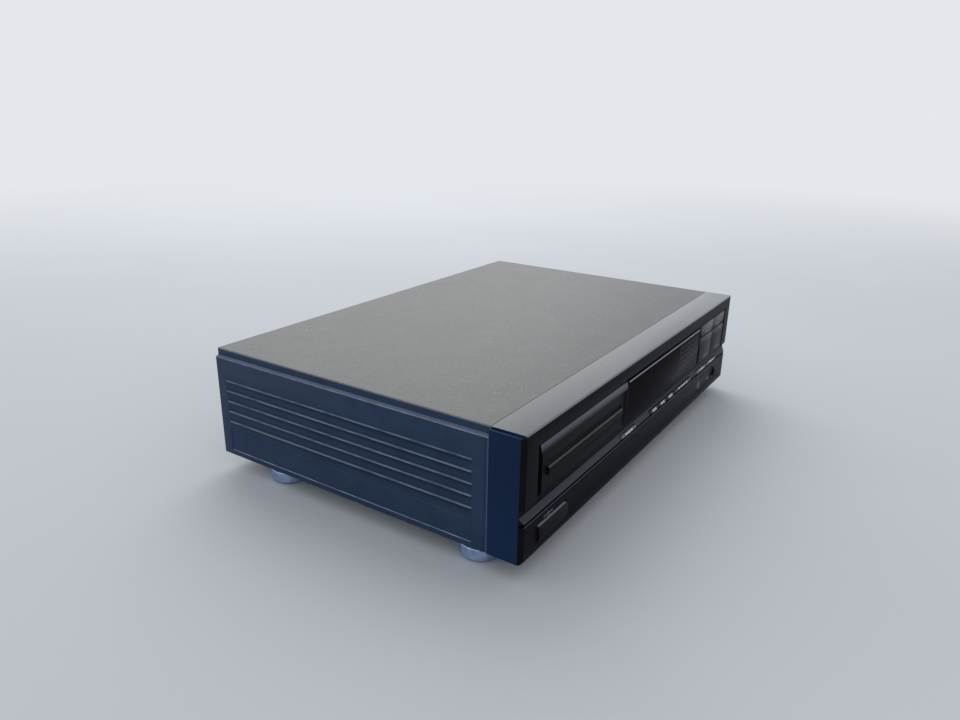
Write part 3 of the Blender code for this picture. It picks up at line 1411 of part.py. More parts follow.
def belt_loop(offset):
    """The belt's path round both pulleys, moved out by offset."""
    big = (pinion_x, GEAR_FROM_FRONT)
    small = (-MOTOR_FROM_CENTRE, GEAR_FROM_FRONT)
    wrap = math.acos((DRIVE_PULLEY_RADIUS - MOTOR_PULLEY_RADIUS) / (big[0] - small[0]))
    far = math.pi - wrap
    return [
        *circle(DRIVE_PULLEY_RADIUS + offset, big, ROUND, -far, 2 * far),
        *circle(MOTOR_PULLEY_RADIUS + offset, small, ROUND // 2, far, 2 * wrap),
    ]


build_drive()


def build_loader_frame():
    """The plate, walls, runners, hold-down lips, legs and posts that carry the tray and its drive."""
    outer = frame_outer_x
    window_y = (disc_y - FRAME_WINDOW_FRONT, disc_y + FRAME_WINDOW_REAR)
    window = rectangle((-FRAME_WINDOW_LEFT, FRAME_WINDOW_RIGHT), window_y)
    shaft_hole = circle(MOTOR_SHAFT_RADIUS * 2, (-MOTOR_FROM_CENTRE, GEAR_FROM_FRONT), 16)
    plan = rectangle((-outer, outer), (FRAME_FRONT, frame_rear_y))
    frame = slab("loader_frame", [plan, window, shaft_hole], "Z", (frame_under_z, frame_top_z), parent=loader)
    long = (FRAME_FRONT, frame_rear_y)
    lip_z = tray_rim_z + SLIP
    lip_y = (FRAME_FRONT, FRAME_FRONT + FRAME_LIP_LENGTH)
    root_z = frame_top_z - FRAME_PLATE / 2
    for side, name in ((-1, "left"), (1, "right")):
        wall_x = sorted((frame_inner_x * side, outer * side))
        runner_ends = (tray_half_width - SKIRT_THICKNESS, frame_inner_x + FRAME_WALL / 2)
        runner_x = sorted(end * side for end in runner_ends)
        lip_x = sorted(((outer - FRAME_LIP - FRAME_WALL) * side, (outer - FRAME_WALL / 4) * side))
        join(frame, box("frame_wall_" + name, wall_x, long, (root_z, lip_z + FRAME_LIP_HEIGHT), loader))
        join(frame, box("frame_runner_" + name, runner_x, long, (root_z, frame_top_z + RUNNER), loader))
        join(frame, box("frame_lip_" + name, lip_x, lip_y, (lip_z, lip_z + FRAME_LIP_HEIGHT / 2), loader))
        leg_x = (outer - LEG_INSET) * side
        for row, leg_y in (("front", LEG_FRONT), ("rear", frame_rear_y - LEG_REAR_INSET)):
            leg_span = (floor_top_z + SLIP, root_z)
            leg_name = f"frame_leg_{row}_{name}"
            join(frame, drum(leg_name, LEG_RADIUS, leg_span, (leg_x, leg_y), parent=loader, steps=12))
    for name, post_x in (("gear", gear_x), ("pulley", pinion_x)):
        post_span = (root_z, gear_top_z)
        post_at = (post_x, GEAR_FROM_FRONT)
        join(frame, drum("frame_post_" + name, POST_RADIUS, post_span, post_at, parent=loader, steps=16))
    ear_z = clamp_pivot_z + EAR_HALF_LENGTH
    ear = [
        (clamp_pivot_y - EAR_HALF_LENGTH, root_z),
        (clamp_pivot_y + EAR_HALF_LENGTH, root_z),
        (clamp_pivot_y + EAR_HALF_LENGTH, ear_z),
        (clamp_pivot_y - EAR_HALF_LENGTH, ear_z),
    ]
    hole = circle(CLAMP_PIN_RADIUS + SLIP, (clamp_pivot_y, clamp_pivot_z), 16)
    ear_start = CLAMP_BARREL_HALF + SLIP
    for side, name in ((-1, "left"), (1, "right")):
        span = sorted((ear_start * side, (ear_start + EAR_THICKNESS) * side))
        join(frame, slab("frame_ear_" + name, [ear, hole], "X", span, parent=loader))
    return paint(frame, "black_plastic")


clamp_z = seat_z + CLAMP_ABOVE_SEAT
clamp_pivot_y = tray_rear_y + CLAMP_PIVOT_REAR
clamp_pivot_z = clamp_z + CLAMP_PLATE / 2

build_loader_frame()


def build_mechanism_plate():
    """The plate that carries the spindle motor and the laser arm, on three rubber grommets."""
    plan = [
        (-PLATE_LEFT, disc_y - PLATE_FRONT + PLATE_SLANT),
        (PLATE_TAB_LEFT, disc_y - PLATE_FRONT),
        (PLATE_TAB_LEFT, disc_y - PLATE_TAB_FRONT),
        (PLATE_TAB_RIGHT, disc_y - PLATE_TAB_FRONT),
        (PLATE_TAB_RIGHT, disc_y - PLATE_FRONT),
        (PLATE_RIGHT, disc_y - PLATE_FRONT + PLATE_SLANT),
        (PLATE_RIGHT, disc_y + PLATE_REAR),
        (-PLATE_LEFT, disc_y + PLATE_REAR),
    ]
    hole = circle(SPINDLE_HOLE_RADIUS, (0, disc_y), 24)
    plate = slab("mechanism_plate", [plan, hole], "Z", (plate_under_z, plate_top_z), parent=loader)
    post_span = (plate_under_z + PLATE_THICKNESS / 2, plate_top_z + ARM_LIFT + ARM_BOSS_HEIGHT)
    join(plate, drum("arm_post", POST_RADIUS, post_span, arm_pivot, parent=loader, steps=16))
    paint(plate, "aluminium")

    height = frame_under_z - plate_top_z - SLIP * 2
    profile = [
        (0, height),
        (GROMMET_RADIUS, height),
        (GROMMET_RADIUS, height * 3 / 4),
        (GROMMET_WAIST_RADIUS, height / 2),
        (GROMMET_RADIUS, height / 4),
        (GROMMET_RADIUS, 0),
        (0, 0),
    ]
    places = [
        (GROMMET_TAB_X, disc_y - GROMMET_TAB_FRONT),
        (GROMMET_REAR_X, disc_y + GROMMET_REAR),
        (GROMMET_REAR_LEFT_X, disc_y + GROMMET_REAR),
    ]
    for index, at in enumerate(places):
        name = f"rubber_grommet_{index + 1}"
        paint(turned(name, profile, (*at, plate_top_z + SLIP), parent=loader, steps=16), "rubber")


# The lens swings on an arc that passes through the turntable's centre
pivot_angle = math.pi - ARM_MIDDLE_ANGLE / 2
arm_pivot = (
    ARM_LENGTH * math.cos(pivot_angle),
    disc_y + ARM_LENGTH * math.sin(pivot_angle),
)
arm_heading = pivot_angle + math.pi + ARM_REST_ANGLE
lens_at = (
    arm_pivot[0] + ARM_LENGTH * math.cos(arm_heading),
    arm_pivot[1] + ARM_LENGTH * math.sin(arm_heading),
)

build_mechanism_plate()


def build_spindle():
    """The spindle motor under the plate, and the turntable on its shaft."""
    motor_z = (plate_under_z - SLIP - SPINDLE_MOTOR_HEIGHT, plate_under_z - SLIP)
    paint(drum("spindle_motor", SPINDLE_MOTOR_RADIUS, motor_z, (0, disc_y), parent=loader), "zinc")
    low = motor_z[1] + SLIP - seat_z
    profile = [
        (0, CONE_HEIGHT),
        (CONE_TIP_RADIUS, CONE_HEIGHT),
        (CONE_RADIUS, CONE_BAND),
        (CONE_RADIUS, 0),
        (TURNTABLE_RADIUS, 0),
        (TURNTABLE_RADIUS, -TURNTABLE_THICKNESS),
        (TURNTABLE_HUB_RADIUS, -TURNTABLE_THICKNESS),
        (TURNTABLE_HUB_RADIUS, plate_top_z - seat_z + PLATE_THICKNESS),
        (SPINDLE_RADIUS, plate_top_z - seat_z + PLATE_THICKNESS),
        (SPINDLE_RADIUS, low),
        (0, low),
    ]
    return paint(turned("turntable", profile, (0, disc_y, seat_z), parent=loader), "black_plastic")


build_spindle()


def build_laser_arm():
    """The swinging arm on its post, with a counterweight behind and the lens at its head."""
    low_z = plate_top_z + ARM_LIFT
    direction = (math.cos(arm_heading), math.sin(arm_heading))
    across = (-direction[1], direction[0])

    def at(along, aside):
        return tuple(direction[axis] * along + across[axis] * aside for axis in (0, 1))

    bore = circle(POST_RADIUS + SLIP, steps=16)
    boss_span = (plate_top_z + SLIP, low_z + ARM_BOSS_HEIGHT)
    arm = slab("laser_arm", [circle(ARM_BOSS_RADIUS, steps=24), bore], "Z", boss_span, arm_pivot, loader)
    root = (POST_RADIUS + ARM_BOSS_RADIUS) / 2
    beam = [
        at(root, -ARM_HALF_WIDTH),
        at(ARM_LENGTH, -ARM_HALF_WIDTH),
        at(ARM_LENGTH, ARM_HALF_WIDTH),
        at(root, ARM_HALF_WIDTH),
    ]
    arm_span = (low_z, low_z + ARM_THICKNESS)
    head_span = (low_z - ARM_LIFT / 4, seat_z - ARM_HEAD_BELOW_SEAT)
    head = drum("laser_head", ARM_HEAD_RADIUS, head_span, lens_at, parent=loader)
    tail = [
        at(-root, -ARM_TAIL_HALF_WIDTH),
        at(-root, ARM_TAIL_HALF_WIDTH),
        at(-root - ARM_TAIL, ARM_TAIL_HALF_WIDTH),
        at(-root - ARM_TAIL, -ARM_TAIL_HALF_WIDTH),
    ]
    tail_span = (low_z + ARM_LIFT / 4, low_z + ARM_THICKNESS + ARM_LIFT / 4)
    join(
        arm,
        slab("laser_beam", [beam], "Z", arm_span, arm_pivot, loader),
        slab("laser_tail", [tail], "Z", tail_span, arm_pivot, loader),
        head,
    )
    paint(arm, "aluminium")

    dome = [
        (LENS_RADIUS * math.sin(turn), LENS_RING + (LENS_HEIGHT - LENS_RING) * math.cos(turn))
        for turn in (math.pi / 2 * step / LENS_STEPS for step in range(LENS_STEPS + 1))
    ]
    profile = [*dome, (LENS_RADIUS, 0), (0, 0)]
    lens_z = seat_z - ARM_HEAD_BELOW_SEAT + SLIP
    return paint(turned("objective_lens", profile, (*lens_at, lens_z), parent=loader, steps=24), "lens_glass")


build_laser_arm()


def build_clamp():
    """The arm that lowers the puck onto the disc, hinged at the back of the loader."""
    reach = disc_y - clamp_pivot_y
    ring_edge = reach + (CLAMP_RING_RADIUS + CLAMP_HOLE_RADIUS) / 2
    bar = [
        (-CLAMP_ROOT_HALF_WIDTH, 0),
        (-CLAMP_ARM_HALF_WIDTH, ring_edge),
        (CLAMP_ARM_HALF_WIDTH, ring_edge),
        (CLAMP_ROOT_HALF_WIDTH, 0),
    ]
    at = (0, clamp_pivot_y)
    span = (clamp_z, clamp_z + CLAMP_PLATE)
    arm = slab("clamp_arm", [bar], "Z", span, at, loader)
    ring_loops = [circle(CLAMP_RING_RADIUS, (0, reach)), circle(CLAMP_HOLE_RADIUS, (0, reach))]
    barrel_x = (-CLAMP_BARREL_HALF, CLAMP_BARREL_HALF)
    pin_half = CLAMP_BARREL_HALF + EAR_THICKNESS
    pivot = (clamp_pivot_y, clamp_pivot_z)
    join(
        arm,
        slab("clamp_ring", ring_loops, "Z", span, at, loader),
        drum("clamp_barrel", CLAMP_BARREL_RADIUS, barrel_x, pivot, "X", loader, 24),
        drum("clamp_pins", CLAMP_PIN_RADIUS, (-pin_half, pin_half), pivot, "X", loader, 16),
    )
    paint(arm, "zinc")

    base = PUCK_ABOVE_SEAT
    flange_top = CLAMP_ABOVE_SEAT - PUCK_PLAY
    cap_z = CLAMP_ABOVE_SEAT + CLAMP_PLATE + PUCK_PLAY
    profile = [
        (0, cap_z + PUCK_CAP),
        (PUCK_CAP_RADIUS, cap_z + PUCK_CAP),
        (PUCK_CAP_RADIUS, cap_z),
        (PUCK_NECK_RADIUS, cap_z),
        (PUCK_NECK_RADIUS, flange_top),
        (PUCK_RADIUS, flange_top),
        (PUCK_RADIUS, base),
        (PUCK_RECESS_RADIUS, base),
        (PUCK_RECESS_RADIUS, base + PUCK_RECESS),
        (0, base + PUCK_RECESS),
    ]
    return paint(turned("clamp_puck", profile, (0, disc_y, seat_z), parent=loader), "black_plastic")


build_clamp()
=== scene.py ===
# %% [markdown]
# # A disc player, dressed around its solid model
# The solids of the player come in already packed, each on the body that it moves with. This lesson
# gives them soft edges, finishes and the small things that a maker adds last: printed marks, screws,
# parts on the boards. Every length is in metres, in the frame of the solids.

# %% Load the frame
import json
import math

import bmesh
import bpy
from mathutils import Matrix, Vector

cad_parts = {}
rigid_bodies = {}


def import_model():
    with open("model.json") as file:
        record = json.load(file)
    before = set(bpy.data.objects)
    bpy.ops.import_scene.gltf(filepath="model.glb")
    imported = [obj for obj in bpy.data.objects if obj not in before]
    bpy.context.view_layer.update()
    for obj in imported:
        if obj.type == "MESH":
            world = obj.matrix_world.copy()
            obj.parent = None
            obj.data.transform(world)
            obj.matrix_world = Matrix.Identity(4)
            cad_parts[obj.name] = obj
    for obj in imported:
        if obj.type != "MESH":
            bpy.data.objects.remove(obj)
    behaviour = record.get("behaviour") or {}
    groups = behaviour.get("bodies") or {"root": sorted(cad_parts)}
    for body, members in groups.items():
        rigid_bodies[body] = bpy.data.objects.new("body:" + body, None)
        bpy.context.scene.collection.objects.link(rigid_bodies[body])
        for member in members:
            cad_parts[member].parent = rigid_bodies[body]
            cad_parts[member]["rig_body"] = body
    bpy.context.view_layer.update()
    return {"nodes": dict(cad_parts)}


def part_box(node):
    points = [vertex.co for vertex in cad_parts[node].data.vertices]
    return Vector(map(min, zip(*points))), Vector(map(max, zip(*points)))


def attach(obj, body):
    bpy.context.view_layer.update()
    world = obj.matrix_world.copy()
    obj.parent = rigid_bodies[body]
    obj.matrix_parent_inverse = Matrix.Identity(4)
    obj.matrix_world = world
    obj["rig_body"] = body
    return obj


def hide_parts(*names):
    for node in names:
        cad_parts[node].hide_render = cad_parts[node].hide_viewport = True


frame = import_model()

MM = 0.001
nodes = frame["nodes"]
body_of = {node: obj["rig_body"] for node, obj in nodes.items()}

# %% [markdown]
# ## The camera
# The photograph was taken from the front left, a little above the top. A camera is placed best by a
# point and two directions: where the picture's right side points, and where its lower side points.
# That fixes the turn fully, without a tracking constraint that would have to be applied later.

# %% Camera
LENS_MM = 28.03
SENSOR_MM = 36
CAMERA_PLACE = (-0.5587, -0.3389, 0.2921)
CAMERA_RIGHT = Vector((0.55358, -0.83265, 0.01540)).normalized()
CAMERA_DOWN = Vector((-0.26908, -0.19634, -0.94289)).normalized()

camera_data = bpy.data.cameras.new("camera")
camera_data.lens, camera_data.sensor_width = LENS_MM, SENSOR_MM
camera_data.clip_start, camera_data.clip_end = 0.01, 50
camera = bpy.data.objects.new("camera", camera_data)
bpy.context.scene.collection.objects.link(camera)
camera_turn = Matrix((CAMERA_RIGHT, -CAMERA_DOWN, CAMERA_RIGHT.cross(-CAMERA_DOWN))).transposed()
camera.matrix_world = Matrix.Translation(CAMERA_PLACE) @ camera_turn.to_4x4()
bpy.context.scene.camera = camera
print("camera at", CAMERA_PLACE)

# %% [markdown]
# ## Helpers for node graphs
# A material is a small graph, and most of it is arithmetic on numbers that change over the surface.
# Wrapping a socket in a class with operators lets `dust * 0.2 + grain` stand for two Math nodes, which
# reads better than wiring them one at a time. The same wrapper serves Geometry Nodes later on.


# %% Values and graphs
def tone(red, green, blue):
    """A colour as seen on a screen, from 0 to 255, turned to the linear values of a shader."""
    shares = [value / 255 for value in (red, green, blue)]
    return (*[s / 12.92 if s < 0.04045 else ((s + 0.055) / 1.055) ** 2.4 for s in shares], 1)


class Value:
    """A socket in a graph. Arithmetic on it adds Math nodes."""

    def __init__(self, graph, socket):
        self.graph, self.socket = graph, socket

    def math(self, operation, *values):
        return self.graph.node("ShaderNodeMath", {"operation": operation}, dict(enumerate(values)))

    def __add__(self, other):
        return self.math("ADD", self, other)

    def __sub__(self, other):
        return self.math("SUBTRACT", self, other)

    def __rsub__(self, other):
        return self.math("SUBTRACT", other, self)

    def __mul__(self, other):
        return self.math("MULTIPLY", self, other)

    def __lt__(self, other):
        return self.math("LESS_THAN", self, other)

    def __abs__(self):
        return self.math("ABSOLUTE", self)

    __radd__ = __add__
    __rmul__ = __mul__

    def rises(self, low, high):
        """0 below low, 1 above high, and smooth between them. Falls if low is the larger."""
        limits = {"Value": self, "From Min": low, "From Max": high}
        return self.graph.node("ShaderNodeMapRange", {"interpolation_type": "SMOOTHSTEP"}, limits)

    def inside(self, low, high, soft):
        """1 between two limits, 0 outside them."""
        return self.rises(low - soft, low + soft) * self.rises(high + soft, high - soft)

    def wave(self, pitch, phase=0.0):
        """Swings between 0 and 1, once every pitch metres."""
        return self.math("SINE", (self + phase) * (2 * math.pi / pitch)) * 0.5 + 0.5


class Graph:
    """A node tree in the making."""

    def __init__(self, tree):
        self.tree = tree

    def node(self, kind, settings=(), sockets=(), out=0):
        """Adds any node: its settings first, then the values or links of its sockets."""
        made = self.tree.nodes.new(kind)
        for name, value in dict(settings).items():
            setattr(made, name, value)
        by_name = {}
        for socket in reversed(made.inputs):
            by_name[socket.name] = by_name[socket.identifier] = socket
        for name, value in dict(sockets).items():
            socket = made.inputs[name] if isinstance(name, int) else by_name[name]
            for item in value if isinstance(value, list) else [value]:
                if isinstance(item, Value):
                    self.tree.links.new(item.socket, socket)
                else:
                    socket.default_value = item
        return Value(self, made.outputs[out])

    def seen(self):
        """1 for rays that come from the camera or off something glossy."""
        rays = [self.node("ShaderNodeLightPath", out=name) for name in ("Is Camera Ray", "Is Glossy Ray")]
        return rays[0].math("MAXIMUM", *rays)


# %% [markdown]
# ## A finish
# Every material starts with the same few things: the object's own coordinates, which stay put when a
# piece moves, and the way the face points. Clouds, cells and stripes come from there. Only what
# changes over the surface is linked. A number that is the same everywhere is set on the shader.


# %% Finishes
class Finish(Graph):
    """A material in the making: its graph, its shader, and the object's coordinates."""

    def __init__(self, name):
        self.material = bpy.data.materials.new(name)
        self.material.use_nodes = True
        super().__init__(self.material.node_tree)
        self.tree.nodes.clear()
        self.place = self.node("ShaderNodeTexCoord", out="Object")
        self.x, self.y, self.z = (self.part(self.place, axis) for axis in "XYZ")
        self.facing = self.node("ShaderNodeNewGeometry", out="True Normal")
        self.up = self.part(self.facing, "Z")
        self.polish = None

    def part(self, vector, axis):
        return self.node("ShaderNodeSeparateXYZ", {}, {0: vector}, out=axis)

    def noise(self, scale, detail=2.0, roughness=0.5, vector=None):
        """Soft clouds of about 1 / scale metres."""
        sockets = {"Vector": vector or self.place, "Scale": scale, "Detail": detail, "Roughness": roughness}
        return self.node("ShaderNodeTexNoise", {}, sockets)

    def cells(self, scale, feature="F1", vector=None, out=0):
        sockets = {"Vector": vector or self.place, "Scale": scale}
        return self.node("ShaderNodeTexVoronoi", {"feature": feature}, sockets, out)

    def stretched(self, x, y, z):
        """The object's coordinates with each axis scaled, to draw a pattern out along one of them."""
        return self.node("ShaderNodeMapping", {}, {"Vector": self.place, "Scale": (x, y, z)})

    def length(self, x, y):
        flat = self.node("ShaderNodeCombineXYZ", {}, {"X": x, "Y": y})
        return self.node("ShaderNodeVectorMath", {"operation": "LENGTH"}, {0: flat}, out="Value")

    def around(self, x, y):
        """Distance from an upright axis."""
        return self.length(self.x - x, self.y - y)

    def blend(self, factor, low, high):
        """One colour where factor is 0, another where it is 1: screen colours or values of the graph."""
        low, high = (tone(*colour) if isinstance(colour, tuple) else colour for colour in (low, high))
        sockets = {"Factor_Float": factor, "A_Color": low, "B_Color": high}
        return self.node("ShaderNodeMix", {"data_type": "RGBA"}, sockets, out=2)

    def bump(self, height, depth, normal=None):
        """A Bump node whose height of 1 stands depth metres proud."""
        sockets = {"Height": height, "Distance": depth, "Strength": 1.0}
        if normal:
            sockets["Normal"] = normal
        return self.node("ShaderNodeBump", {}, sockets)

    def show(self, shader):
        output = self.tree.nodes.new("ShaderNodeOutputMaterial")
        self.tree.links.new(shader.socket, output.inputs["Surface"])
        return self.material

    def done(self, **sockets):
        """Adds the shader and the output, and gives the material."""
        named = {key.replace("_", " ").title().replace("Ior", "IOR"): value for key, value in sockets.items()}
        return self.show(self.node("ShaderNodeBsdfPrincipled", {}, named))


# %% [markdown]
# ## Floor, backdrop and light
# The player stands in a plain studio: a pale floor that runs into a pale wall without a line. The floor
# really catches the shadow near the player. Further out it turns into the wall's own colour, but only
# for rays that come from the camera or off something glossy, so no extra light reaches the object.
# Above it hangs one large soft lamp, behind and over the player, where the room of the photograph had
# its window. The sky around it is nearly white and gives the rest.

# %% Floor
WALL = tone(228, 231, 235)
FLOOR_RADIUS = 9
FADE_NEAR, FADE_FAR = 0.8, 2.4

bm = bmesh.new()
bmesh.ops.create_circle(bm, cap_ends=True, segments=64, radius=FLOOR_RADIUS)
floor = bpy.data.objects.new("floor", bpy.data.meshes.new("floor"))
bm.to_mesh(floor.data)
bm.free()
bpy.context.scene.collection.objects.link(floor)
f = Finish("pale_floor")
floor_colour = f.blend(f.noise(3, 2), (197, 199, 203), (203, 205, 209))
floor_skin = f.node("ShaderNodeBsdfDiffuse", {}, {"Color": floor_colour})
far = f.around(0, 0).rises(FADE_NEAR, FADE_FAR) * f.seen()
wall_glow = f.node("ShaderNodeEmission", {}, {"Color": WALL, "Strength": 1.0})
floor_mix = f.node("ShaderNodeMixShader", {}, {0: far, 1: floor_skin, 2: wall_glow})
floor.data.materials.append(f.show(floor_mix))
print("floor radius", FLOOR_RADIUS)

# %% World and lamp
SKY = (0.88, 0.92, 0.97, 1)
SKY_STRENGTH = 0.78
LAMP_SIZE, LAMP_WATTS, LAMP_PLACE = 2.2, 27, (1.2, 1.2, 1.6)

world = bpy.data.worlds.new("room")
bpy.context.scene.world = world
world.use_nodes = True
w = Graph(world.node_tree)
w.tree.nodes.clear()
sky = w.node("ShaderNodeBackground", {}, {"Color": SKY, "Strength": SKY_STRENGTH})
wall = w.node("ShaderNodeBackground", {}, {"Color": WALL, "Strength": 1.0})
mixed = w.node("ShaderNodeMixShader", {}, {0: w.seen(), 1: sky, 2: wall})
w.tree.links.new(mixed.socket, w.tree.nodes.new("ShaderNodeOutputWorld").inputs["Surface"])

lamp_data = bpy.data.lights.new("softbox", "AREA")
lamp_data.shape, lamp_data.size, lamp_data.energy = "SQUARE", LAMP_SIZE, LAMP_WATTS
lamp = bpy.data.objects.new("softbox", lamp_data)
bpy.context.scene.collection.objects.link(lamp)
lamp.location = LAMP_PLACE
lamp.rotation_euler = (Vector((0, 0, 0.05)) - lamp.location).to_track_quat("-Z", "Y").to_euler()
bpy.context.scene.view_settings.view_transform = "Standard"
print("one lamp of", LAMP_WATTS, "W")

# %% [markdown]
# ## Plastic, paint and rubber
# Most of the player is near black, so what tells its materials apart is their skin. Paint has a fine
# orange peel and takes hairlines and dust on top. A mould gives plastic an even, finer grain. Rubber is
# dull and dusty. One function draws all of them from its own numbers: a tone, a lighter tone that
# clouds into it, a grain for the bump, and a veil of dust that lies only on faces that look up.


# %% Skins
def dust_and_scratches(f, amount):
    """A light veil on faces that look up: specks, soft smears and a few hairlines."""
    specks = f.cells(900).rises(0.20, 0.05) * f.noise(240).rises(0.45, 0.62)
    crumbs = f.cells(210).rises(0.21, 0.11) * f.noise(45, 3).rises(0.52, 0.6)
    smears = f.noise(30, 5, 0.65).rises(0.35, 0.85)
    hair = f.noise(9, 2, 0.5, f.stretched(1.0, 50, 50)).rises(0.67, 0.72)
    veil = specks * 0.5 + crumbs + smears * 0.15 + hair * 0.1
    return f.up.rises(0.4, 0.8) * veil * amount


def skin(
    name, colour, light, grain=2600, depth=0.000012, rough=0.5, gloss=0.3, ior=1.3, dust=0.5, cloud=0.3,
    over=None,
):
    """A finish with a grain, patches of a lighter tone and dust on top.

    over adds what is special: it gives the colour, the normal and where painted shade covers the piece in a
    gap.
    It may also set f.polish, where the skin is rubbed to a gloss.
    """
    f = Finish(name)
    patches = f.noise(60, 5, 0.6)
    fine = f.noise(grain, 2, 0.6)
    base = f.blend(patches.rises(0.3, 0.75) * cloud + fine.rises(0.35, 0.7) * 0.5, colour, light)
    veil = dust_and_scratches(f, dust)
    base = f.blend(veil, base, (150, 152, 152))
    roughness = rough + (patches - 0.5) * 0.2 * cloud + veil * 0.2
    normal = f.bump(fine, depth)
    gap = None
    if over:
        base, normal, gap = over(f, base, normal)
    sockets = {"Base Color": base, "Roughness": roughness, "Normal": normal}
    sockets.update({"Specular IOR Level": gloss, "IOR": ior})
    if f.polish:
        sockets.update({"Coat Weight": f.polish, "Coat Roughness": 0.35})
    shader = f.node("ShaderNodeBsdfPrincipled", {}, sockets)
    # Painted shade: a dark diffuse mixed in where the piece lies in a gap.
    if gap:
        dark = f.node("ShaderNodeBsdfDiffuse", {}, {"Color": f.blend(fine, (2, 2, 3), (5, 5, 6))})
        shader = f.node("ShaderNodeMixShader", {}, {0: gap, 1: shader, 2: dark})
    return f.show(shader)


SHINY = dict(gloss=0.4, ior=1.4)
GLOSSY = dict(rough=0.4, gloss=0.5, ior=1.45)
# Painted shade: a near-black skin for faces in gaps, grooves, wells and bores.
shade_inside = skin("moulding_inside", (7, 7, 8), (11, 11, 12), rough=0.7, gloss=0.1, ior=1.2, dust=0.1)
black_skin = skin("black_plastic", (20, 20, 21), (30, 30, 31), grain=2400, **SHINY)
frame_skin = skin("loader_plastic", (44, 44, 46), (56, 56, 58), grain=2200, rough=0.55, **SHINY)
rubber_skin = skin(
    "rubber", (24, 24, 25), (40, 39, 38), grain=1800, depth=0.00003, rough=0.85, gloss=0.2, dust=0.8
)
acetal_skin = skin("natural_acetal", (226, 222, 208), (236, 233, 222), grain=900, **GLOSSY)
print("plain skins ready")

# %% [markdown]
# ## Soft edges on the solids
# A solid model has edges of zero radius, which no real piece has and which never catch the light. The
# loose triangles of a solid are welded, their flat faces are joined again, and a Bevel rounds every
# edge that turns sharply. The rounded mesh then stands for the solid, on the same body.


# %% Dressing a solid
def welded(node):
    """A copy of a solid's mesh with its points merged and its flat faces rejoined."""
    bm = bmesh.new()
    bm.from_mesh(nodes[node].data)
    bmesh.ops.remove_doubles(bm, verts=bm.verts, dist=0.002 * MM)
    bmesh.ops.dissolve_limit(bm, angle_limit=math.radians(0.5), verts=bm.verts, edges=bm.edges)
    for face in bm.faces:
        face.smooth = True
    mesh = bpy.data.meshes.new(node + "_welded")
    bm.to_mesh(mesh)
    bm.free()
    return mesh


def plain(obj):
    """Turns the evaluated object into a plain mesh without modifiers."""
    graph = bpy.context.evaluated_depsgraph_get()
    mesh = bpy.data.meshes.new_from_object(obj.evaluated_get(graph), depsgraph=graph)
    obj.modifiers.clear()
    obj.data = mesh
    return obj


def placed(name, mesh, body, *materials):
    """Puts a finished mesh on its body."""
    obj = bpy.data.objects.new(name, mesh)
    bpy.context.scene.collection.objects.link(obj)
    for material in materials:
        obj.data.materials.append(material)
    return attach(obj, body)


def dress(node, materials, radius, choose=None, segments=2):
    """The node's shape with rounded edges. choose gives the material's number for a face."""
    obj = placed("shown_" + node, welded(node), body_of[node])
    rounding = obj.modifiers.new("rounding", "BEVEL")
    rounding.width = radius
    rounding.segments = segments
    rounding.limit_method = "ANGLE"
    rounding.angle_limit = math.radians(32)
    rounding.use_clamp_overlap = False
    rounding.harden_normals = True
    plain(obj)
    mesh = obj.data
    mesh.materials.clear()
    for material in materials:
        mesh.materials.append(material)
    for polygon in mesh.polygons:
        polygon.material_index = choose(polygon) if choose else 0
    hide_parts(node)
    return obj


def finish(material, *names):
    """Gives solids whose shape is already right a better material."""
    for name in names:
        data = nodes[name].data
        data.materials.clear()
        data.materials.append(material)


# %% [markdown]
# ## The cover and the front
# Both are one piece each, but the eye reads several skins on them, and most of them are painted light on
# near-black paint and plastic. The cover's top has a painted grey sheen under real dust, every ledge that
# looks up a painted highlight, and the walls a painted reflection of blue light. The moulded front has a
# painted sheen on its top, a painted blue reflection on its cheeks, and is lighter on the sloping strip.
# Faces are sorted by the way they look, so a single mesh carries all of its skins.

# %% Cover and fascia
front_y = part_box("fascia")[0].y
top_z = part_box("top_cover")[1].z
strip_low, strip_high = 0.0421, 0.0473

cover_low, cover_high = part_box("top_cover")
rib_start, rib_end = cover_low.y + 12 * MM, cover_high.y - 10 * MM
RIB_TOP, RIB_PITCH, RIB_COUNT = 78.6 * MM, 8.7 * MM, 5


def rib_light_and_shade(f, base, normal):
    """Painted highlight along each rib's edge and the front edge, painted shade under each rib and over the
    rib field.
    """
    rib_foot = RIB_TOP - RIB_PITCH * RIB_COUNT
    field = f.y.inside(rib_start, rib_end, MM) * f.z.inside(rib_foot, RIB_TOP, 0.3 * MM)
    below = (RIB_TOP - f.z).math("MODULO", RIB_TOP - f.z, RIB_PITCH)
    # Painted shade under each rib.
    shade_below_rib = below.rises(1.0 * MM, 1.5 * MM) * below.rises(5.0 * MM, 1.5 * MM)
    # Painted highlight along each rib's edge, broken into runs.
    lit = below.rises(1.15 * MM, 0.9 * MM) * f.noise(60, 4, 0.6, f.stretched(1, 1, 6)).rises(0.2, 0.6)
    base = f.blend(field * (shade_below_rib * 0.5 + 0.08), base, (10, 18, 34))
    # Painted highlight along the front edge.
    rim = f.y.rises(cover_low.y + 1.1 * MM, cover_low.y + 0.5 * MM) * 0.35
    return f.blend(field * lit * 0.9 + rim, base, (120, 136, 160)), normal, None


def groove_shade_and_light(f, base, normal):
    """Painted shade as a black line along the groove, and painted light that pales the front to the right."""
    base = f.blend(f.x.rises(-0.15, 0.22) * 0.5, base, (44, 44, 50))
    return base, normal, f.z.inside(strip_low - 1.4 * MM, strip_low + 0.5 * MM, 0.1 * MM)


def sheen_right(f, base, normal):
    """A painted sheen that makes the top of the front paler toward its right end."""
    return f.blend(f.x.rises(0.0, 0.21) * 0.5, base, (146, 148, 151)), normal, None


def paler_low_light(f, base, normal):
    """Painted light that makes the cheeks a little paler toward the floor."""
    return f.blend(f.z.rises(80 * MM, 10 * MM) * 0.5, base, (26, 52, 86)), normal, None


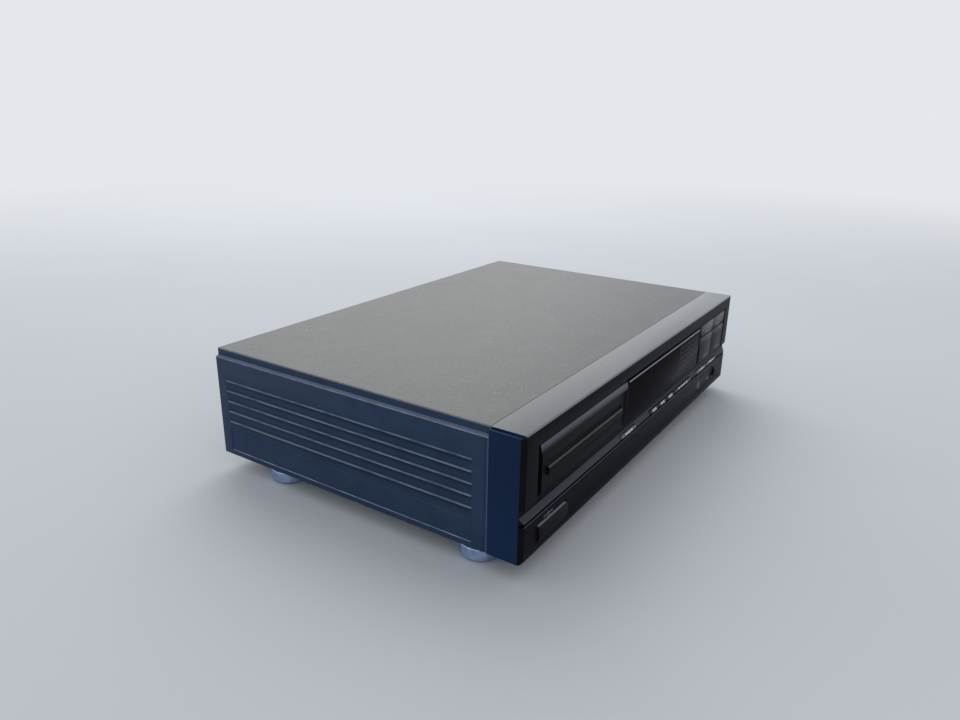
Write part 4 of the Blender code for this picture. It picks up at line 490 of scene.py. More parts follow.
PAINT = dict(grain=1100, rough=0.45, dust=0.2)
MOULD = dict(depth=0.00001, dust=0.1, cloud=0.1)
DUST_AND_SHEEN = dict(depth=0.00003, gloss=0.5, ior=1.42, dust=0.9, cloud=0.14)
TOP_SHEEN = dict(depth=0.00001, rough=0.45, gloss=0.5, ior=1.65, dust=0.4, cloud=0.12)
SMOOTH = dict(depth=0.000004, rough=0.35, ior=1.25, dust=0.1, cloud=0.2)
# Painted light: a grey sheen on the tops, a blue reflection on the walls and cheeks, a highlight on ledges.
paint_top_sheen = skin("cover_paint_top", (95, 96, 94), (122, 123, 120), grain=750, **DUST_AND_SHEEN)
paint_wall_reflection = skin(
    "cover_paint_wall", (37, 54, 78), (51, 69, 95), depth=0.00002, ior=1.25, cloud=0.4, over=rib_light_and_shade,
    **PAINT,
)
paint_ledge_highlight = skin("cover_paint_ledge", (84, 95, 114), (112, 122, 140), **PAINT)
# The top of the front has a painted sheen, its cheeks a painted blue reflection.
mould_top_sheen = skin("fascia_top", (94, 96, 99), (110, 112, 115), grain=1500, over=sheen_right, **TOP_SHEEN)
mould_front = skin("fascia_front", (13, 13, 16), (22, 22, 26), ior=1.18, over=groove_shade_and_light, **MOULD)
mould_cheek_reflection = skin("fascia_cheek", (12, 34, 64), (17, 40, 74), grain=3200, over=paler_low_light, **SMOOTH)
mould_strip = skin("fascia_strip", (60, 61, 68), (74, 75, 82), ior=1.25, over=groove_shade_and_light, **MOULD)


def cover_face(polygon):
    """0 on the top with a painted sheen, 2 on ledges that look up with a painted highlight, 1 on the walls.
    """
    if polygon.normal.z < 0.5:
        return 1
    return 0 if polygon.center.z > top_z - MM else 2


CHEEK_X, CORNER_X, INNER_X, WELLS_X = 205 * MM, 207.3 * MM, 207 * MM, 200 * MM
TOP_RIM, TOP_EDGE, SHELL = 1.4 * MM, 2 * MM, 4 * MM
BEVEL_FOOT, BEVEL_HEAD, GROOVE_DEPTH = 2.2 * MM, 0.8 * MM, 0.6 * MM


def fascia_face(polygon):
    """0 top, painted sheen; 1 front; 2 cheeks, painted reflection; 3 sloping strip and bevel; 4 painted shade
    inside, groove, wells.
    """
    n, c = polygon.normal, polygon.center
    aside, deep, level = abs(c.x), c.y - front_y, c.z
    if n.z > 0.3 and level > top_z - TOP_RIM:
        return 0
    if abs(n.x) > 0.9 and aside > CHEEK_X or aside > CORNER_X and level > top_z - TOP_EDGE:
        return 2
    if deep > SHELL and n.y > -0.3 and aside < INNER_X and level < top_z - TOP_EDGE:
        return 4
    if strip_low - MM < level < strip_low + 0.2 * MM and deep > GROOVE_DEPTH:
        return 4
    if strip_low < level < strip_high + MM and aside < WELLS_X and (abs(n.x) > 0.8 or n.z < -0.3):
        return 4
    on_bevel = strip_low - BEVEL_FOOT < level < strip_low - BEVEL_HEAD and n.z > 0.2
    on_strip = strip_low - 0.2 * MM < level < strip_high and n.y < -0.5 and n.z > 0.2
    return 3 if on_bevel or on_strip else 1


fascia_skins = [mould_top_sheen, mould_front, mould_cheek_reflection, mould_strip, shade_inside]
dress("top_cover", [paint_top_sheen, paint_wall_reflection, paint_ledge_highlight], 0.25 * MM, cover_face)
dress("fascia", fascia_skins, 0.05 * MM, fascia_face)
print("cover and fascia dressed")


# %% [markdown]
# ## Geometry Nodes for what repeats
# Beads, screws, printed rows and parts on a board are one small shape, set out by a rule. Geometry
# Nodes suit them: a row of points carries instances, and the sizes stay named inputs. An instance isn't
# a mesh yet, so every tree ends in Realize Instances and Set Material, and the result is then turned
# into a plain mesh.


# %% Recipes
class Recipe(Graph):
    """A Geometry Nodes tree with named inputs."""

    def __init__(self, name):
        super().__init__(bpy.data.node_groups.new(name, "GeometryNodeTree"))
        self.tree.interface.new_socket("Geometry", in_out="OUTPUT", socket_type="NodeSocketGeometry")
        self.entry = self.tree.nodes.new("NodeGroupInput")
        self.identifiers = {}

    def given(self, *names):
        """Named inputs of the tree: plain numbers, or of the kind that stands after a colon."""
        values = []
        for name in names:
            name, _, kind = name.partition(":")
            kind = "NodeSocket" + (kind or "Float")
            made = self.tree.interface.new_socket(name, in_out="INPUT", socket_type=kind)
            self.identifiers[name] = made.identifier
            values.append(Value(self, self.entry.outputs[name]))
        return values

    def vector(self, x=0.0, y=0.0, z=0.0):
        return self.node("ShaderNodeCombineXYZ", {}, {0: x, 1: y, 2: z})

    def block(self, x, y, z, at=(0, 0, 0)):
        """A box with its middle at a point."""
        box = self.node("GeometryNodeMeshCube", {}, {"Size": self.vector(x, y, z)})
        return self.node("GeometryNodeTransform", {}, {"Geometry": box, "Translation": at})

    def row(self, count, first, step):
        """A row of points."""
        sockets = {"Count": count, "Start Location": first, "Offset": step}
        return self.node("GeometryNodeMeshLine", {}, sockets)

    def on(self, points, shape, **sockets):
        """The shape on every point."""
        return self.node("GeometryNodeInstanceOnPoints", {}, {"Points": points, "Instance": shape, **sockets})

    def joined(self, *shapes):
        return self.node("GeometryNodeJoinGeometry", {}, {"Geometry": list(shapes)})

    def ends(self, shape, smooth=True):
        """Realizes the instances, sets the material and closes the tree."""
        real = self.node("GeometryNodeRealizeInstances", {}, {"Geometry": shape})
        shaded = self.node("GeometryNodeSetShadeSmooth", {}, {"Geometry": real, "Shade Smooth": smooth})
        material = self.given("Material:Material")[0]
        coated = self.node("GeometryNodeSetMaterial", {}, {"Geometry": shaded, "Material": material})
        self.tree.links.new(coated.socket, self.tree.nodes.new("NodeGroupOutput").inputs["Geometry"])
        return self

    def made(self, name, body, slot, material, sharp=35, **values):
        """Runs the tree with its inputs set, and puts the plain mesh on its body."""
        obj = bpy.data.objects.new(name, bpy.data.meshes.new(name))
        bpy.context.scene.collection.objects.link(obj)
        modifier = obj.modifiers.new("recipe", "NODES")
        modifier.node_group = self.tree
        modifier[self.identifiers["Material"]] = material
        for key, value in values.items():
            modifier[self.identifiers[key]] = value
        plain(obj)
        obj.data.set_sharp_from_angle(angle=math.radians(sharp))
        print(name, len(obj.data.polygons), "faces")
        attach(obj, body)
        return obj


# %% [markdown]
# ## Bright beads on the cover's ribs
# Each side wall has five pressed ribs, a step under the top and a hem above the floor. On the real
# cover the press leaves their upper edges round, so they catch the light as fine bright lines. A round
# bar swept along each edge gives that line its own shape, and its bright colour is a painted highlight.

# %% Rib beads
# A painted highlight for the beads, broken into runs along them.
f = Finish("rubbed_paint")
runs = f.noise(70, 4, 0.65, f.stretched(1, 1, 5))
base = f.blend(runs.rises(0.35, 0.65), (104, 115, 134), (150, 160, 178))
rubbed_paint = f.done(base_color=base, roughness=0.62 - runs * 0.3, normal=f.bump(f.noise(1800), 0.00001))

beads = Recipe("edge_beads")
count, pitch, height, half, start, length, radius = beads.given(
    "count:Int", "pitch", "height", "half_width", "start", "length", "radius"
)
line = beads.node("GeometryNodeCurvePrimitiveLine", {}, {"End": beads.vector(0, length, 0)})
ring = beads.node("GeometryNodeCurvePrimitiveCircle", {}, {"Resolution": 10, "Radius": radius})
bar = beads.node("GeometryNodeCurveToMesh", {}, {"Curve": line, "Profile Curve": ring, "Fill Caps": True})
wall_bars = beads.on(beads.row(count, beads.vector(0, start, height), beads.vector(0, 0, pitch * -1)), bar)
sides = beads.row(2, beads.vector(half * -1), beads.vector(half * 2))
beads.ends(beads.on(sides, beads.node("GeometryNodeRealizeInstances", {}, {0: wall_bars})))

bead_sizes = {
    "rib_beads": (RIB_COUNT, RIB_TOP - 0.3 * MM, 210.1 * MM, rib_start, rib_end, 0.3 * MM),
    "ledge_bead": (1, 95.95 * MM, 209.6 * MM, cover_low.y, cover_high.y, 0.45 * MM),
    "hem_bead": (1, 18.05 * MM, 209.75 * MM, rib_start, rib_end, 0.3 * MM),
}
for name, (number, level, reach, begin, end, thick) in bead_sizes.items():
    sizes = dict(count=number, pitch=RIB_PITCH, height=level, half_width=reach, radius=thick)
    beads.made(name, "case", "cover_paint", rubbed_paint, start=begin, length=end - begin, **sizes)

# %% [markdown]
# ## The tray's door
# The door is the front of the disc tray. Its head is a quarter round that catches the light from above,
# its face is flat and dull, and a long bar stands between two grooves. The solid has all of these, so it
# only needs its edges broken and its skins: lighter copies of the plastic as painted highlight on the round
# head and the bar's top, the plain plastic for the rest, and painted shade on its ends in the gaps.

# %% Tray door
door_low, door_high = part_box("tray_door")
NOSE = 7.3 * MM


def lines_and_end_shade(f, base, normal):
    """Five faint lines moulded across the foot of the door, and painted shade on its left end, deep in its
    gap.
    """
    below_bar = f.z.inside(door_low.z + 2 * MM, door_low.z + 10.2 * MM, 0.2 * MM)
    lines = f.z.wave(2.2 * MM).rises(0.88, 0.96) * below_bar
    base = f.blend(lines * 0.5, base, (40, 40, 44))
    # Painted shade on the left end.
    end = f.x.rises(door_low.x + 5.5 * MM, door_low.x + 4.5 * MM)
    return base, f.bump(lines, 0.00004, normal), end * 0.9


DOOR = dict(grain=2800, depth=0.000008, dust=0.1)
POLISHED = dict(rough=0.42, gloss=0.4, cloud=0.15, **DOOR)
door_skin = skin("door_plastic", (11, 11, 13), (18, 18, 21), ior=1.22, cloud=0.1, over=lines_and_end_shade, **DOOR)


def head_highlight_and_shade(f, base, normal):
    """A painted highlight where the round head looks up, and painted shade where it goes under the edge of
    the front.
    """
    high = door_high.z
    base = f.blend(f.z.rises(high - NOSE, high - 2.6 * MM), (17, 17, 21), base)
    return base, normal, f.z.rises(high - 2.0 * MM, high - 1.7 * MM) * 0.8


# Lighter copies of the door plastic: painted highlights on the round head and on the bar's top.
nose_highlight_skin = skin("door_nose", (86, 88, 95), (104, 106, 113), over=head_highlight_and_shade, **POLISHED)
bar_highlight_skin = skin("door_bar", (60, 61, 67), (74, 75, 81), **POLISHED)


def door_face(polygon):
    """0 face, 1 round head, 2 the bar's upper edge, both painted highlight, 3 the ends, painted shade in the
    gaps.
    """
    n, c = polygon.normal, polygon.center
    if abs(n.x) > 0.9 and not door_low.x + MM < c.x < door_high.x - MM:
        return 3
    if c.z > door_high.z - NOSE - 0.3 * MM and n.y < 0.5:
        return 1
    return 2 if n.z > 0.3 and n.y < -0.2 else 0


dress("tray_door", [door_skin, nose_highlight_skin, bar_highlight_skin, shade_inside], 0.2 * MM, door_face)
print("door dressed")

# %% [markdown]
# ## The display window
# The window is a block of smoked acrylic, so dark that it reads as black gloss, with a painted highlight
# on the chamfer along its head, painted shade above it and paler painted light on faces that look left. Its
# right third carries a faint printed calendar of tracks: six rows of dashes in a grey that is hardly
# lighter than the window. The rows are a grid of points with a thin bar on each.

# %% Window and its printed rows
window_low, window_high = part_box("display_window")
CALENDAR_LEFT = 62.5 * MM

f = Finish("smoked_acrylic")
haze = f.noise(40, 3, 0.6)
printed_field = f.x.inside(CALENDAR_LEFT, window_high.x - 3 * MM, 0.2 * MM)
printed_field = printed_field * f.z.inside(window_low.z + 3 * MM, window_high.z - 4 * MM, 0.2 * MM)
base = f.blend(printed_field, (24, 22, 25), (36, 35, 39))
base = f.blend(haze.rises(0.4, 0.8) * 0.2, base, (34, 33, 36))
# Painted highlight on the chamfer along the head.
lit_edge = f.z.inside(window_high.z - 3.0 * MM, window_high.z - 1.6 * MM, 0.1 * MM)
base = f.blend(lit_edge, base, f.blend(f.noise(120, 3, 0.6), (138, 138, 144), (164, 164, 170)))
# Painted light on faces that look left.
base = f.blend(f.part(f.facing, "X").rises(-0.6, -0.9), base, (54, 52, 57))
# Painted shade in the gap over the head.
base = f.blend(f.z.rises(window_high.z - 1.7 * MM, window_high.z - 1.5 * MM), base, (3, 3, 4))
marks = f.noise(9, 2, 0.5, f.stretched(40, 40, 1)).rises(0.66, 0.72)
dullness = 0.12 + haze * 0.06 + marks * 0.08
smoked = f.done(base_color=base, roughness=dullness, specular_ior_level=0.2, ior=1.05)
dress("display_window", [smoked], 0.12 * MM)

f = Finish("grey_print")
base = f.blend(f.noise(900), (52, 52, 57), (65, 65, 71))
grey_print = f.done(base_color=base, roughness=0.45 + f.noise(500) * 0.1, specular_ior_level=0.3)

calendar = Recipe("calendar_rows")
rows, columns, wide, tall, dash, stroke, thick, middle = calendar.given(
    "rows:Int", "columns:Int", "width", "height", "dash", "stroke", "thickness", "middle:Vector"
)
sockets = {"Size X": wide, "Size Y": tall, "Vertices X": columns, "Vertices Y": rows}
grid = calendar.node("GeometryNodeMeshGrid", {}, sockets)
upright = {"Geometry": grid, "Translation": middle, "Rotation": (math.pi / 2, 0, 0)}
grid = calendar.node("GeometryNodeTransform", {}, upright)
calendar.ends(calendar.on(grid, calendar.block(dash, thick, stroke)), smooth=False)
sizes = dict(width=38 * MM, height=24 * MM, dash=7.0 * MM, stroke=0.35 * MM, thickness=0.06 * MM)
sizes.update(rows=6, columns=5, middle=(87.3 * MM, window_low.y, 71.5 * MM))
calendar.made("track_calendar", "case", "smoked_window", grey_print, **sizes)

# %% [markdown]
# ## Keys
# The keys are separate caps of a slightly lighter plastic than the front, and each one moves. A cap's
# edge is rounded by less than a millimetre. The four play keys carry a painted highlight on their tops and
# toward their heads, the strip keys are thin bars in their wells, and the power key is a wide cap with a
# sloping head.

# %% Key caps
SPLIT_Z = 78.4 * MM


def crown_highlight(f, base, normal):
    """A painted highlight toward the head of each cap, with a clear coat there."""
    upper = f.z.rises(SPLIT_Z + 1 * MM, SPLIT_Z + 9 * MM)
    lower = f.z.rises(SPLIT_Z - 8 * MM, SPLIT_Z - MM) * f.z.rises(SPLIT_Z + 0.5 * MM, SPLIT_Z)
    f.polish = upper * 0.6 + lower * 0.4
    return f.blend(upper * 0.5 + lower * 0.3, base, (82, 84, 90)), normal, None


CAP = dict(grain=3000, depth=0.000008)
CROWN = dict(rough=0.42, ior=1.22, dust=0.2, cloud=0.1, over=crown_highlight)
HEAD = dict(rough=0.4, gloss=0.4, ior=1.35, dust=0.2)
STRIP = dict(rough=0.42, gloss=0.4, dust=0.1)
key_skin = skin("key_plastic", (34, 35, 40), (45, 46, 51), **CAP, **CROWN)
# A lighter copy of the key plastic is a painted highlight on faces that look up.
key_head = skin("key_head", (56, 58, 62), (68, 70, 75), **CAP, **HEAD)
strip_key_skin = skin("strip_key_plastic", (66, 68, 76), (80, 82, 90), **CAP, **STRIP)
pale_key_skin = skin("pale_key_plastic", (104, 106, 113), (122, 124, 131), **CAP, **STRIP)
power_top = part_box("power_key")[1].z


def ribs_and_highlight(f, base, normal):
    """Moulded ribs a millimetre apart on the cap, painted light paler toward the top, and a painted highlight
    on the upper edge.
    """
    ribs = f.z.wave(1.1 * MM).rises(0.2, 0.8) * f.y.rises(front_y + 2 * MM, front_y)
    base = f.blend(ribs * 0.3, base, (34, 34, 38))
    # Painted light, paler toward the top, and a painted highlight on the upper edge.
    base = f.blend(f.z.rises(26 * MM, power_top) * 0.5, base, (50, 50, 55))
    base = f.blend(f.z.rises(power_top - MM, power_top - 0.6 * MM), base, (112, 112, 118))
    return base, f.bump(ribs, 0.00012, normal), None


RIBBED = dict(grain=1600, depth=0.00002, rough=0.45, ior=1.18, dust=0.1, cloud=0.1, over=ribs_and_highlight)
power_skin = skin("power_key_plastic", (13, 13, 15), (21, 21, 24), **RIBBED)

play_keys = [name for name in nodes if name.startswith("play_key")]
pale_keys = ["open_close_key", "skip_key_1", "skip_key_2"]
strip_keys = [
    "open_close_key", "strip_key_1", "strip_key_2", "strip_key_3", "long_key", "skip_key_1", "skip_key_2"
]


# Faces that look up take the painted highlight.
def key_face(polygon):
    return 1 if polygon.normal.z > 0.35 else 0


def play_face(polygon):
    """As on the other keys, with painted shade where the upper pair reaches into the gap."""
    in_gap = polygon.normal.z > 0.8 and polygon.center.z > window_high.z - 0.4 * MM
    return 2 if in_gap else key_face(polygon)


for name in play_keys:
    dress(name, [key_skin, key_head, shade_inside], 0.35 * MM, play_face, 3)
for name in strip_keys:
    dress(name, [pale_key_skin if name in pale_keys else strip_key_skin], 0.2 * MM)
dress("power_key", [power_skin], 0.3 * MM)
print("keys", len(play_keys) + len(strip_keys) + 1)

# %% [markdown]
# ## Printed marks
# White ink stands a few hundredths of a millimetre proud of the plastic, and it has to move with its
# key. A mark is drawn as flat outlines in the plane of its face and given that thickness. The signs are
# the common ones of any tape or disc player: triangles, bars and squares, a broken ring for the power
# and a headphone at its socket.

# %% Ink
def worn_ink(name, dark, light):
    """Ink that is rubbed thin in places."""
    f = Finish(name)
    worn = f.noise(700, 3, 0.6)
    base = f.blend(worn.rises(0.35, 0.7), dark, light)
    return f.done(base_color=base, roughness=0.5 + worn * 0.1, specular_ior_level=0.3)


white_ink = worn_ink("white_ink", (222, 223, 225), (244, 244, 246))
grey_ink = worn_ink("grey_ink", (146, 147, 152), (172, 173, 178))


def signed_area(outline):
    return sum(a[0] * b[1] - b[0] * a[1] for a, b in zip(outline, outline[1:] + outline[:1])) / 2


def printed(name, body, outlines, origin, up=(0, 0, 1), ink=white_ink, proud=0.04 * MM, right=(1, 0, 0)):
    """Outlines in millimetres, drawn right and up from a point on a face, as thin closed plates."""
    right, up = Vector(right), Vector(up)
    out = right.cross(up)
    bm = bmesh.new()
    for outline in outlines:
        if signed_area(outline) < 0:
            outline = outline[::-1]
        places = [Vector(origin) + right * u * MM + up * v * MM for u, v in outline]
        top = [bm.verts.new(place + out * proud) for place in places]
        foot = [bm.verts.new(place - out * proud / 2) for place in places]
        bm.faces.new(top)
        bm.faces.new(foot[::-1])
        for index in range(len(top)):
            after = (index + 1) % len(top)
            bm.faces.new((top[index], foot[index], foot[after], top[after]))
    mesh = bpy.data.meshes.new(name)
    bm.to_mesh(mesh)
    bm.free()
    return placed(name, mesh, body, ink)


# %% Signs
def pointer(x, size, way=1):
    """A triangle whose upright side stands at x."""
    return [(x, -size / 2), (x, size / 2), (x + way * size * 0.87, 0)]


def post(x, width, size, z=0.0):
    return [(x, z - size / 2), (x + width, z - size / 2), (x + width, z + size / 2), (x, z + size / 2)]


def arc(radius, stroke, begin, sweep, steps=20, x=0.0, z=0.0):
    """A piece of a ring as quads, from an angle over a sweep in degrees."""
    angles = [math.radians(begin + sweep * step / steps) for step in range(steps + 1)]
    edge = [
        [(x + r * math.cos(angle), z + r * math.sin(angle)) for angle in angles]
        for r in (radius - stroke / 2, radius + stroke / 2)
    ]
    return [[edge[0][i], edge[1][i], edge[1][i + 1], edge[0][i + 1]] for i in range(steps)]


def back_twice(x, size):
    return [pointer(x, size, -1), pointer(x + size * 0.87, size, -1)]


def on_twice(x, size):
    return [pointer(x, size), pointer(x - size * 0.87, size)]


def dashes(reach, length, stroke=0.45):
    """A short dash on each side of a sign."""
    return [post(-reach - length, length, stroke), post(reach, length, stroke)]


SMALL = 1.9
to_next = [pointer(-1.0, SMALL), pointer(-2.7, SMALL), post(0.6, 0.5, SMALL)]
to_last = [pointer(1.0, SMALL, -1), pointer(2.7, SMALL, -1), post(-1.1, 0.5, SMALL)]
eject = [[(-1.4, -0.1), (1.4, -0.1), (0, 1.0)], post(-1.4, 2.8, 0.6, -0.65)]
strip_signs = {
    "open_close_key": [*eject, *dashes(2.4, 4.4, 0.9)],
    "strip_key_1": [post(-1.5, 3, 0.6, 0.65), post(-1.5, 3, 0.6, -0.65), *dashes(2.2, 1.5, 1.9)],
    "strip_key_2": [pointer(-1.65, SMALL), pointer(1.65, SMALL, -1), *dashes(2.2, 1.5, 1.9)],
    "strip_key_3": [*arc(0.8, 0.45, 0, 360), post(-0.15, 0.3, 0.8, 0.2), *dashes(1.9, 1.8, 1.9)],
    "long_key": [*back_twice(-10.5, SMALL), *on_twice(10.5, SMALL), post(-6.5, 13, 0.7)],
    "skip_key_1": [*to_last, *dashes(3.4, 2.2, 0.9)],
    "skip_key_2": [*to_next, *dashes(3.4, 2.2, 0.9)],
}
SLOPE, OUTWARD = Vector((0, 0.4943, 0.8693)), Vector((0, -0.8693, 0.4943))
UP_SLOPE, KEY_PROUD = 2.1 * MM, 0.9 * MM
for name, outlines in strip_signs.items():
    low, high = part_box(name)
    face = Vector(((low.x + high.x) / 2, front_y, strip_low)) + SLOPE * UP_SLOPE + OUTWARD * KEY_PROUD
    printed("mark_" + name, body_of[name], outlines, face, SLOPE)

# %% Signs on the play keys and beside the sockets
TURN = 300
replay = [*arc(0.8, 0.35, 100, TURN), [(-0.35, 0.35), (-0.35, 1.25), (0.45, 0.8)]]
line = dashes(1.8, 4.5, 0.5)
play_signs = {
    "play_key_upper_left": ([post(-0.8, 0.5, 1.8), post(0.3, 0.5, 1.8), *line], (3, -3.4)),
    "play_key_upper_right": ([post(-0.8, 1.6, 1.6), *line], (-2, -3.4)),
    "play_key_lower_left": ([pointer(-0.7, 2.0), *line], (1.5, -8.3)),
    "play_key_lower_right": ([*replay, *line], (2, -8.3)),
}
for name, (outlines, (aside, raised)) in play_signs.items():
    low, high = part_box(name)
    face = ((low.x + high.x) / 2 + aside * MM, low.y, (low.z + high.z) / 2 + raised * MM)
    printed("mark_" + name, body_of[name], outlines, face, ink=grey_ink)

power_sign = [*arc(1.0, 0.32, 120, TURN), post(-0.17, 0.34, 1.3, 0.75), *dashes(2.2, 4, 0.4)]
headphone = [*arc(1.7, 0.5, 0, 180), post(-2.3, 1.1, 1.8, -0.8), post(1.2, 1.1, 1.8, -0.8)]
disc_sign = [*arc(3.0, 0.6, 0, 360, 32), *arc(0.9, 0.5, 0, 360)]
front_signs = [
    ("mark_power", power_sign, -176, 36.2),
    ("mark_phones", headphone, 157, 28),
    ("mark_disc", disc_sign, 129, 29.4),
]
for name, outlines, x, z in front_signs:
    printed(name, "case", outlines, (x * MM, front_y, z * MM), ink=grey_ink)

# %% [markdown]
# ## Feet
# Each foot is a silver ring on a dark neck, with a rubber pad under it. The ring is plated plastic: a
# mirror with very fine turning lines, tinted blue by a painted reflection of blue light. Lines round an
# axis come from the distance to that axis, which a material can work out for each of the four feet by
# folding the coordinates over at the middle.

# %% Silver rings and pads
foot_low, foot_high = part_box("foot_front_left")
foot_x = abs(foot_low.x + foot_high.x) / 2
foot_ys = [(low.y + high.y) / 2 for low, high in (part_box("foot_front_left"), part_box("foot_rear_left"))]
middle_y, spread_y = sum(foot_ys) / 2, (foot_ys[1] - foot_ys[0]) / 2

f = Finish("plated_silver")
ring_radius = f.length(abs(f.x) - foot_x, abs(f.y - middle_y) - spread_y)
lines = ring_radius.wave(0.25 * MM) * 0.5 + f.z.wave(0.3 * MM) * 0.5
smudge = f.noise(160, 4, 0.6)
# Painted reflection: the silver is tinted blue, under real smudges.
base = f.blend(smudge.rises(0.35, 0.75), (188, 208, 244), (150, 172, 210))
plated = f.done(base_color=base, metallic=1.0, roughness=0.12 + smudge * 0.14, normal=f.bump(lines, 0.000003))
NECK_Z = 10.95 * MM


def foot_face(polygon):
    return 1 if polygon.center.z > NECK_Z else 0


foot_names = [name for name in nodes if name.startswith("foot_") and "pad" not in name]
for name in foot_names:
    dress(name, [plated, black_skin], 0.3 * MM, foot_face, 3)
    dress(name.replace("foot_", "foot_pad_"), [rubber_skin], 0.15 * MM)
print("feet", foot_names)

# %% [markdown]
# ## Metals
# Zinc plating breaks up in soft patches a few millimetres wide, rolled steel and aluminium have fine
# straight lines, and a can has lines around it. One function makes them from a tone, a stretch of the
# pattern and a roughness.


# %% Metal skins
def metal(name, colour, dark, rough, patch, drawn=(1, 1, 1), fine=1400, depth=0.000006):
    """Bare or plated metal. drawn scales the axes, so the lines run along the one with the smallest."""
    f = Finish(name)
    field = f.stretched(*drawn)
    flakes = f.node("ShaderNodeSeparateXYZ", {}, {0: f.cells(patch, out="Color")}, out="X")
    lines = f.noise(fine, 3, 0.6, field)
    cloud = f.noise(35, 4, 0.6)
    shade = flakes * 0.35 + lines * 0.4 + cloud.rises(0.3, 0.8) * 0.25
    base = f.blend(shade, colour, dark)
    return f.done(base_color=base, metallic=1.0, roughness=rough + shade * 0.15, normal=f.bump(lines, depth))


zinc = metal("zinc_plating", (196, 198, 196), (150, 154, 152), 0.38, 220)
cast = metal("cast_aluminium", (196, 197, 198), (160, 161, 162), 0.5, 500, fine=900, depth=0.00002)
can_steel = metal("motor_can", (190, 192, 194), (158, 160, 162), 0.3, 60, drawn=(0.1, 0.1, 1))
nickel = metal("nickel", (206, 204, 196), (172, 170, 162), 0.2, 120)
dark_zinc = metal("black_zinc", (70, 71, 74), (44, 45, 48), 0.36, 300)
print("metals ready")

# %% [markdown]
# ## Screws
# A pan-head screw with a cross recess: a short cone for the head, less two crossed bars. The tree cuts
# the recess once and sets the screw along a row, so the three in the back of the cover, the pairs at
# the sockets and the rows under the floor all come from it. The three in the back replace the plain
# heads of the solid model.

# %% Screw recipe
screws = Recipe("cross_head_screws")
count, first, step, lean, radius, height = screws.given(
    "count:Int", "first:Vector", "step:Vector", "lean:Vector", "radius", "height"
)
sockets = {"Vertices": 24, "Side Segments": 3, "Radius Top": radius * 0.72, "Radius Bottom": radius}
head = screws.node("GeometryNodeMeshCone", {}, {"Depth": height, **sockets})
deep, bar_long, bar_wide = height * 0.8, radius * 1.15, radius * 0.24
sunk = screws.vector(0, 0, height * 0.75)
bars = ((bar_long, bar_wide), (bar_wide, bar_long))
cross = screws.joined(*[screws.block(x, y, deep, sunk) for x, y in bars])
union, less = ({"solver": "EXACT", "operation": name} for name in ("UNION", "DIFFERENCE"))
cross = screws.node("GeometryNodeMeshBoolean", union, {"Mesh 2": [cross], "Self Intersection": True})
head = screws.node("GeometryNodeMeshBoolean", less, {"Mesh 1": head, "Mesh 2": cross})
screws.ends(screws.on(screws.row(count, first, step), head, Rotation=lean))

BACK, UNDER = (-math.pi / 2, 0, 0), (math.pi, 0, 0)
HEAD_HEIGHT, HEAD_RADIUS = 1.9 * MM, 3.2 * MM
SMALL_HEIGHT, SMALL_RADIUS = 1.4 * MM, 2.6 * MM
screw_low, screw_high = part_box("cover_screw_1")
seat_y = screw_high.y - HEAD_HEIGHT
rear_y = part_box("rear_panel")[1].y
under_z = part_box("bottom_chassis")[0].z
head_z = (screw_low.z + screw_high.z) / 2


def screw_row(name, number, start, step, lean, material=zinc, radius=SMALL_RADIUS, height=SMALL_HEIGHT):
    """A row of screws along x."""
    row = dict(count=number, first=start, step=(step, 0, 0), lean=lean, radius=radius, height=height)
    return screws.made(name, "case", "zinc_steel", material, **row)


rear_screws = screw_row(
    "cover_screws", 3, (-150 * MM, seat_y, head_z), 150 * MM, BACK, dark_zinc, HEAD_RADIUS, HEAD_HEIGHT
)
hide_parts("cover_screw_1", "cover_screw_2", "cover_screw_3")
screw_row("line_out_screws", 2, (77 * MM, rear_y, 39.8 * MM), 46 * MM, BACK)
screw_row("inlet_screws", 2, (-184.5 * MM, rear_y, 39.8 * MM), 33 * MM, BACK)
screw_row("panel_screws", 4, (-190 * MM, rear_y, 20.5 * MM), 126.6 * MM, BACK)
screw_row("loader_foot_screws", 2, (-180 * MM, -76 * MM, under_z), 118 * MM, UNDER)
screw_row("transformer_screws", 2, (-148 * MM, 83.6 * MM, under_z), 54 * MM, UNDER)
screw_row("board_screws", 3, (-30 * MM, -68 * MM, under_z), 108 * MM, UNDER)
screw_row("board_screws_rear", 3, (-30 * MM, 104.6 * MM, under_z), 108 * MM, UNDER)

# %% [markdown]
# ## The back
# The rear panel is a steel plate in the cover's paint. Its sockets are black blocks with turned rings:
# nickel on the digital one, white and red on the stereo pair. The inlet for the mains is a black block
# with two pins in its recess. Which ring is which follows from where a face lies.

# %% Rear panel and sockets
panel_skin = skin(
    "rear_panel_paint", (34, 36, 40), (46, 48, 52), grain=1500, depth=0.00002, dust=0.2, **SHINY
)
red_ring = skin("red_plastic", (150, 24, 24), (172, 40, 38), grain=2400, dust=0.1, **GLOSSY)
white_ring = skin("white_plastic", (222, 221, 216), (234, 233, 229), grain=2400, dust=0.1, **GLOSSY)
BLOCK_END, RING_END = rear_y - 0.5 * MM, rear_y + 1.8 * MM
STEREO_X, DIGITAL_X = 100 * MM, 125 * MM


def phono_face(polygon):
    """0 body, 1 nickel barrel, 2 left ring, 3 right ring, seen from the back."""
    c = polygon.center
    if c.y < BLOCK_END:
        return 0
    if c.y > RING_END or c.x > DIGITAL_X:
        return 1
    return 2 if c.x > STEREO_X else 3


ring_skins = [black_skin, nickel, white_ring, red_ring]
dress("rear_panel", [panel_skin], 0.15 * MM)
dress("line_out_sockets", ring_skins, 0.1 * MM, phono_face)
dress("digital_out_socket", ring_skins, 0.1 * MM, phono_face)

INLET_X, INLET_Z, RECESS_Y = -168 * MM, 39.8 * MM, rear_y - 9.5 * MM
PIN_ASIDE, PIN_REACH = 4.3 * MM, 1.3 * MM


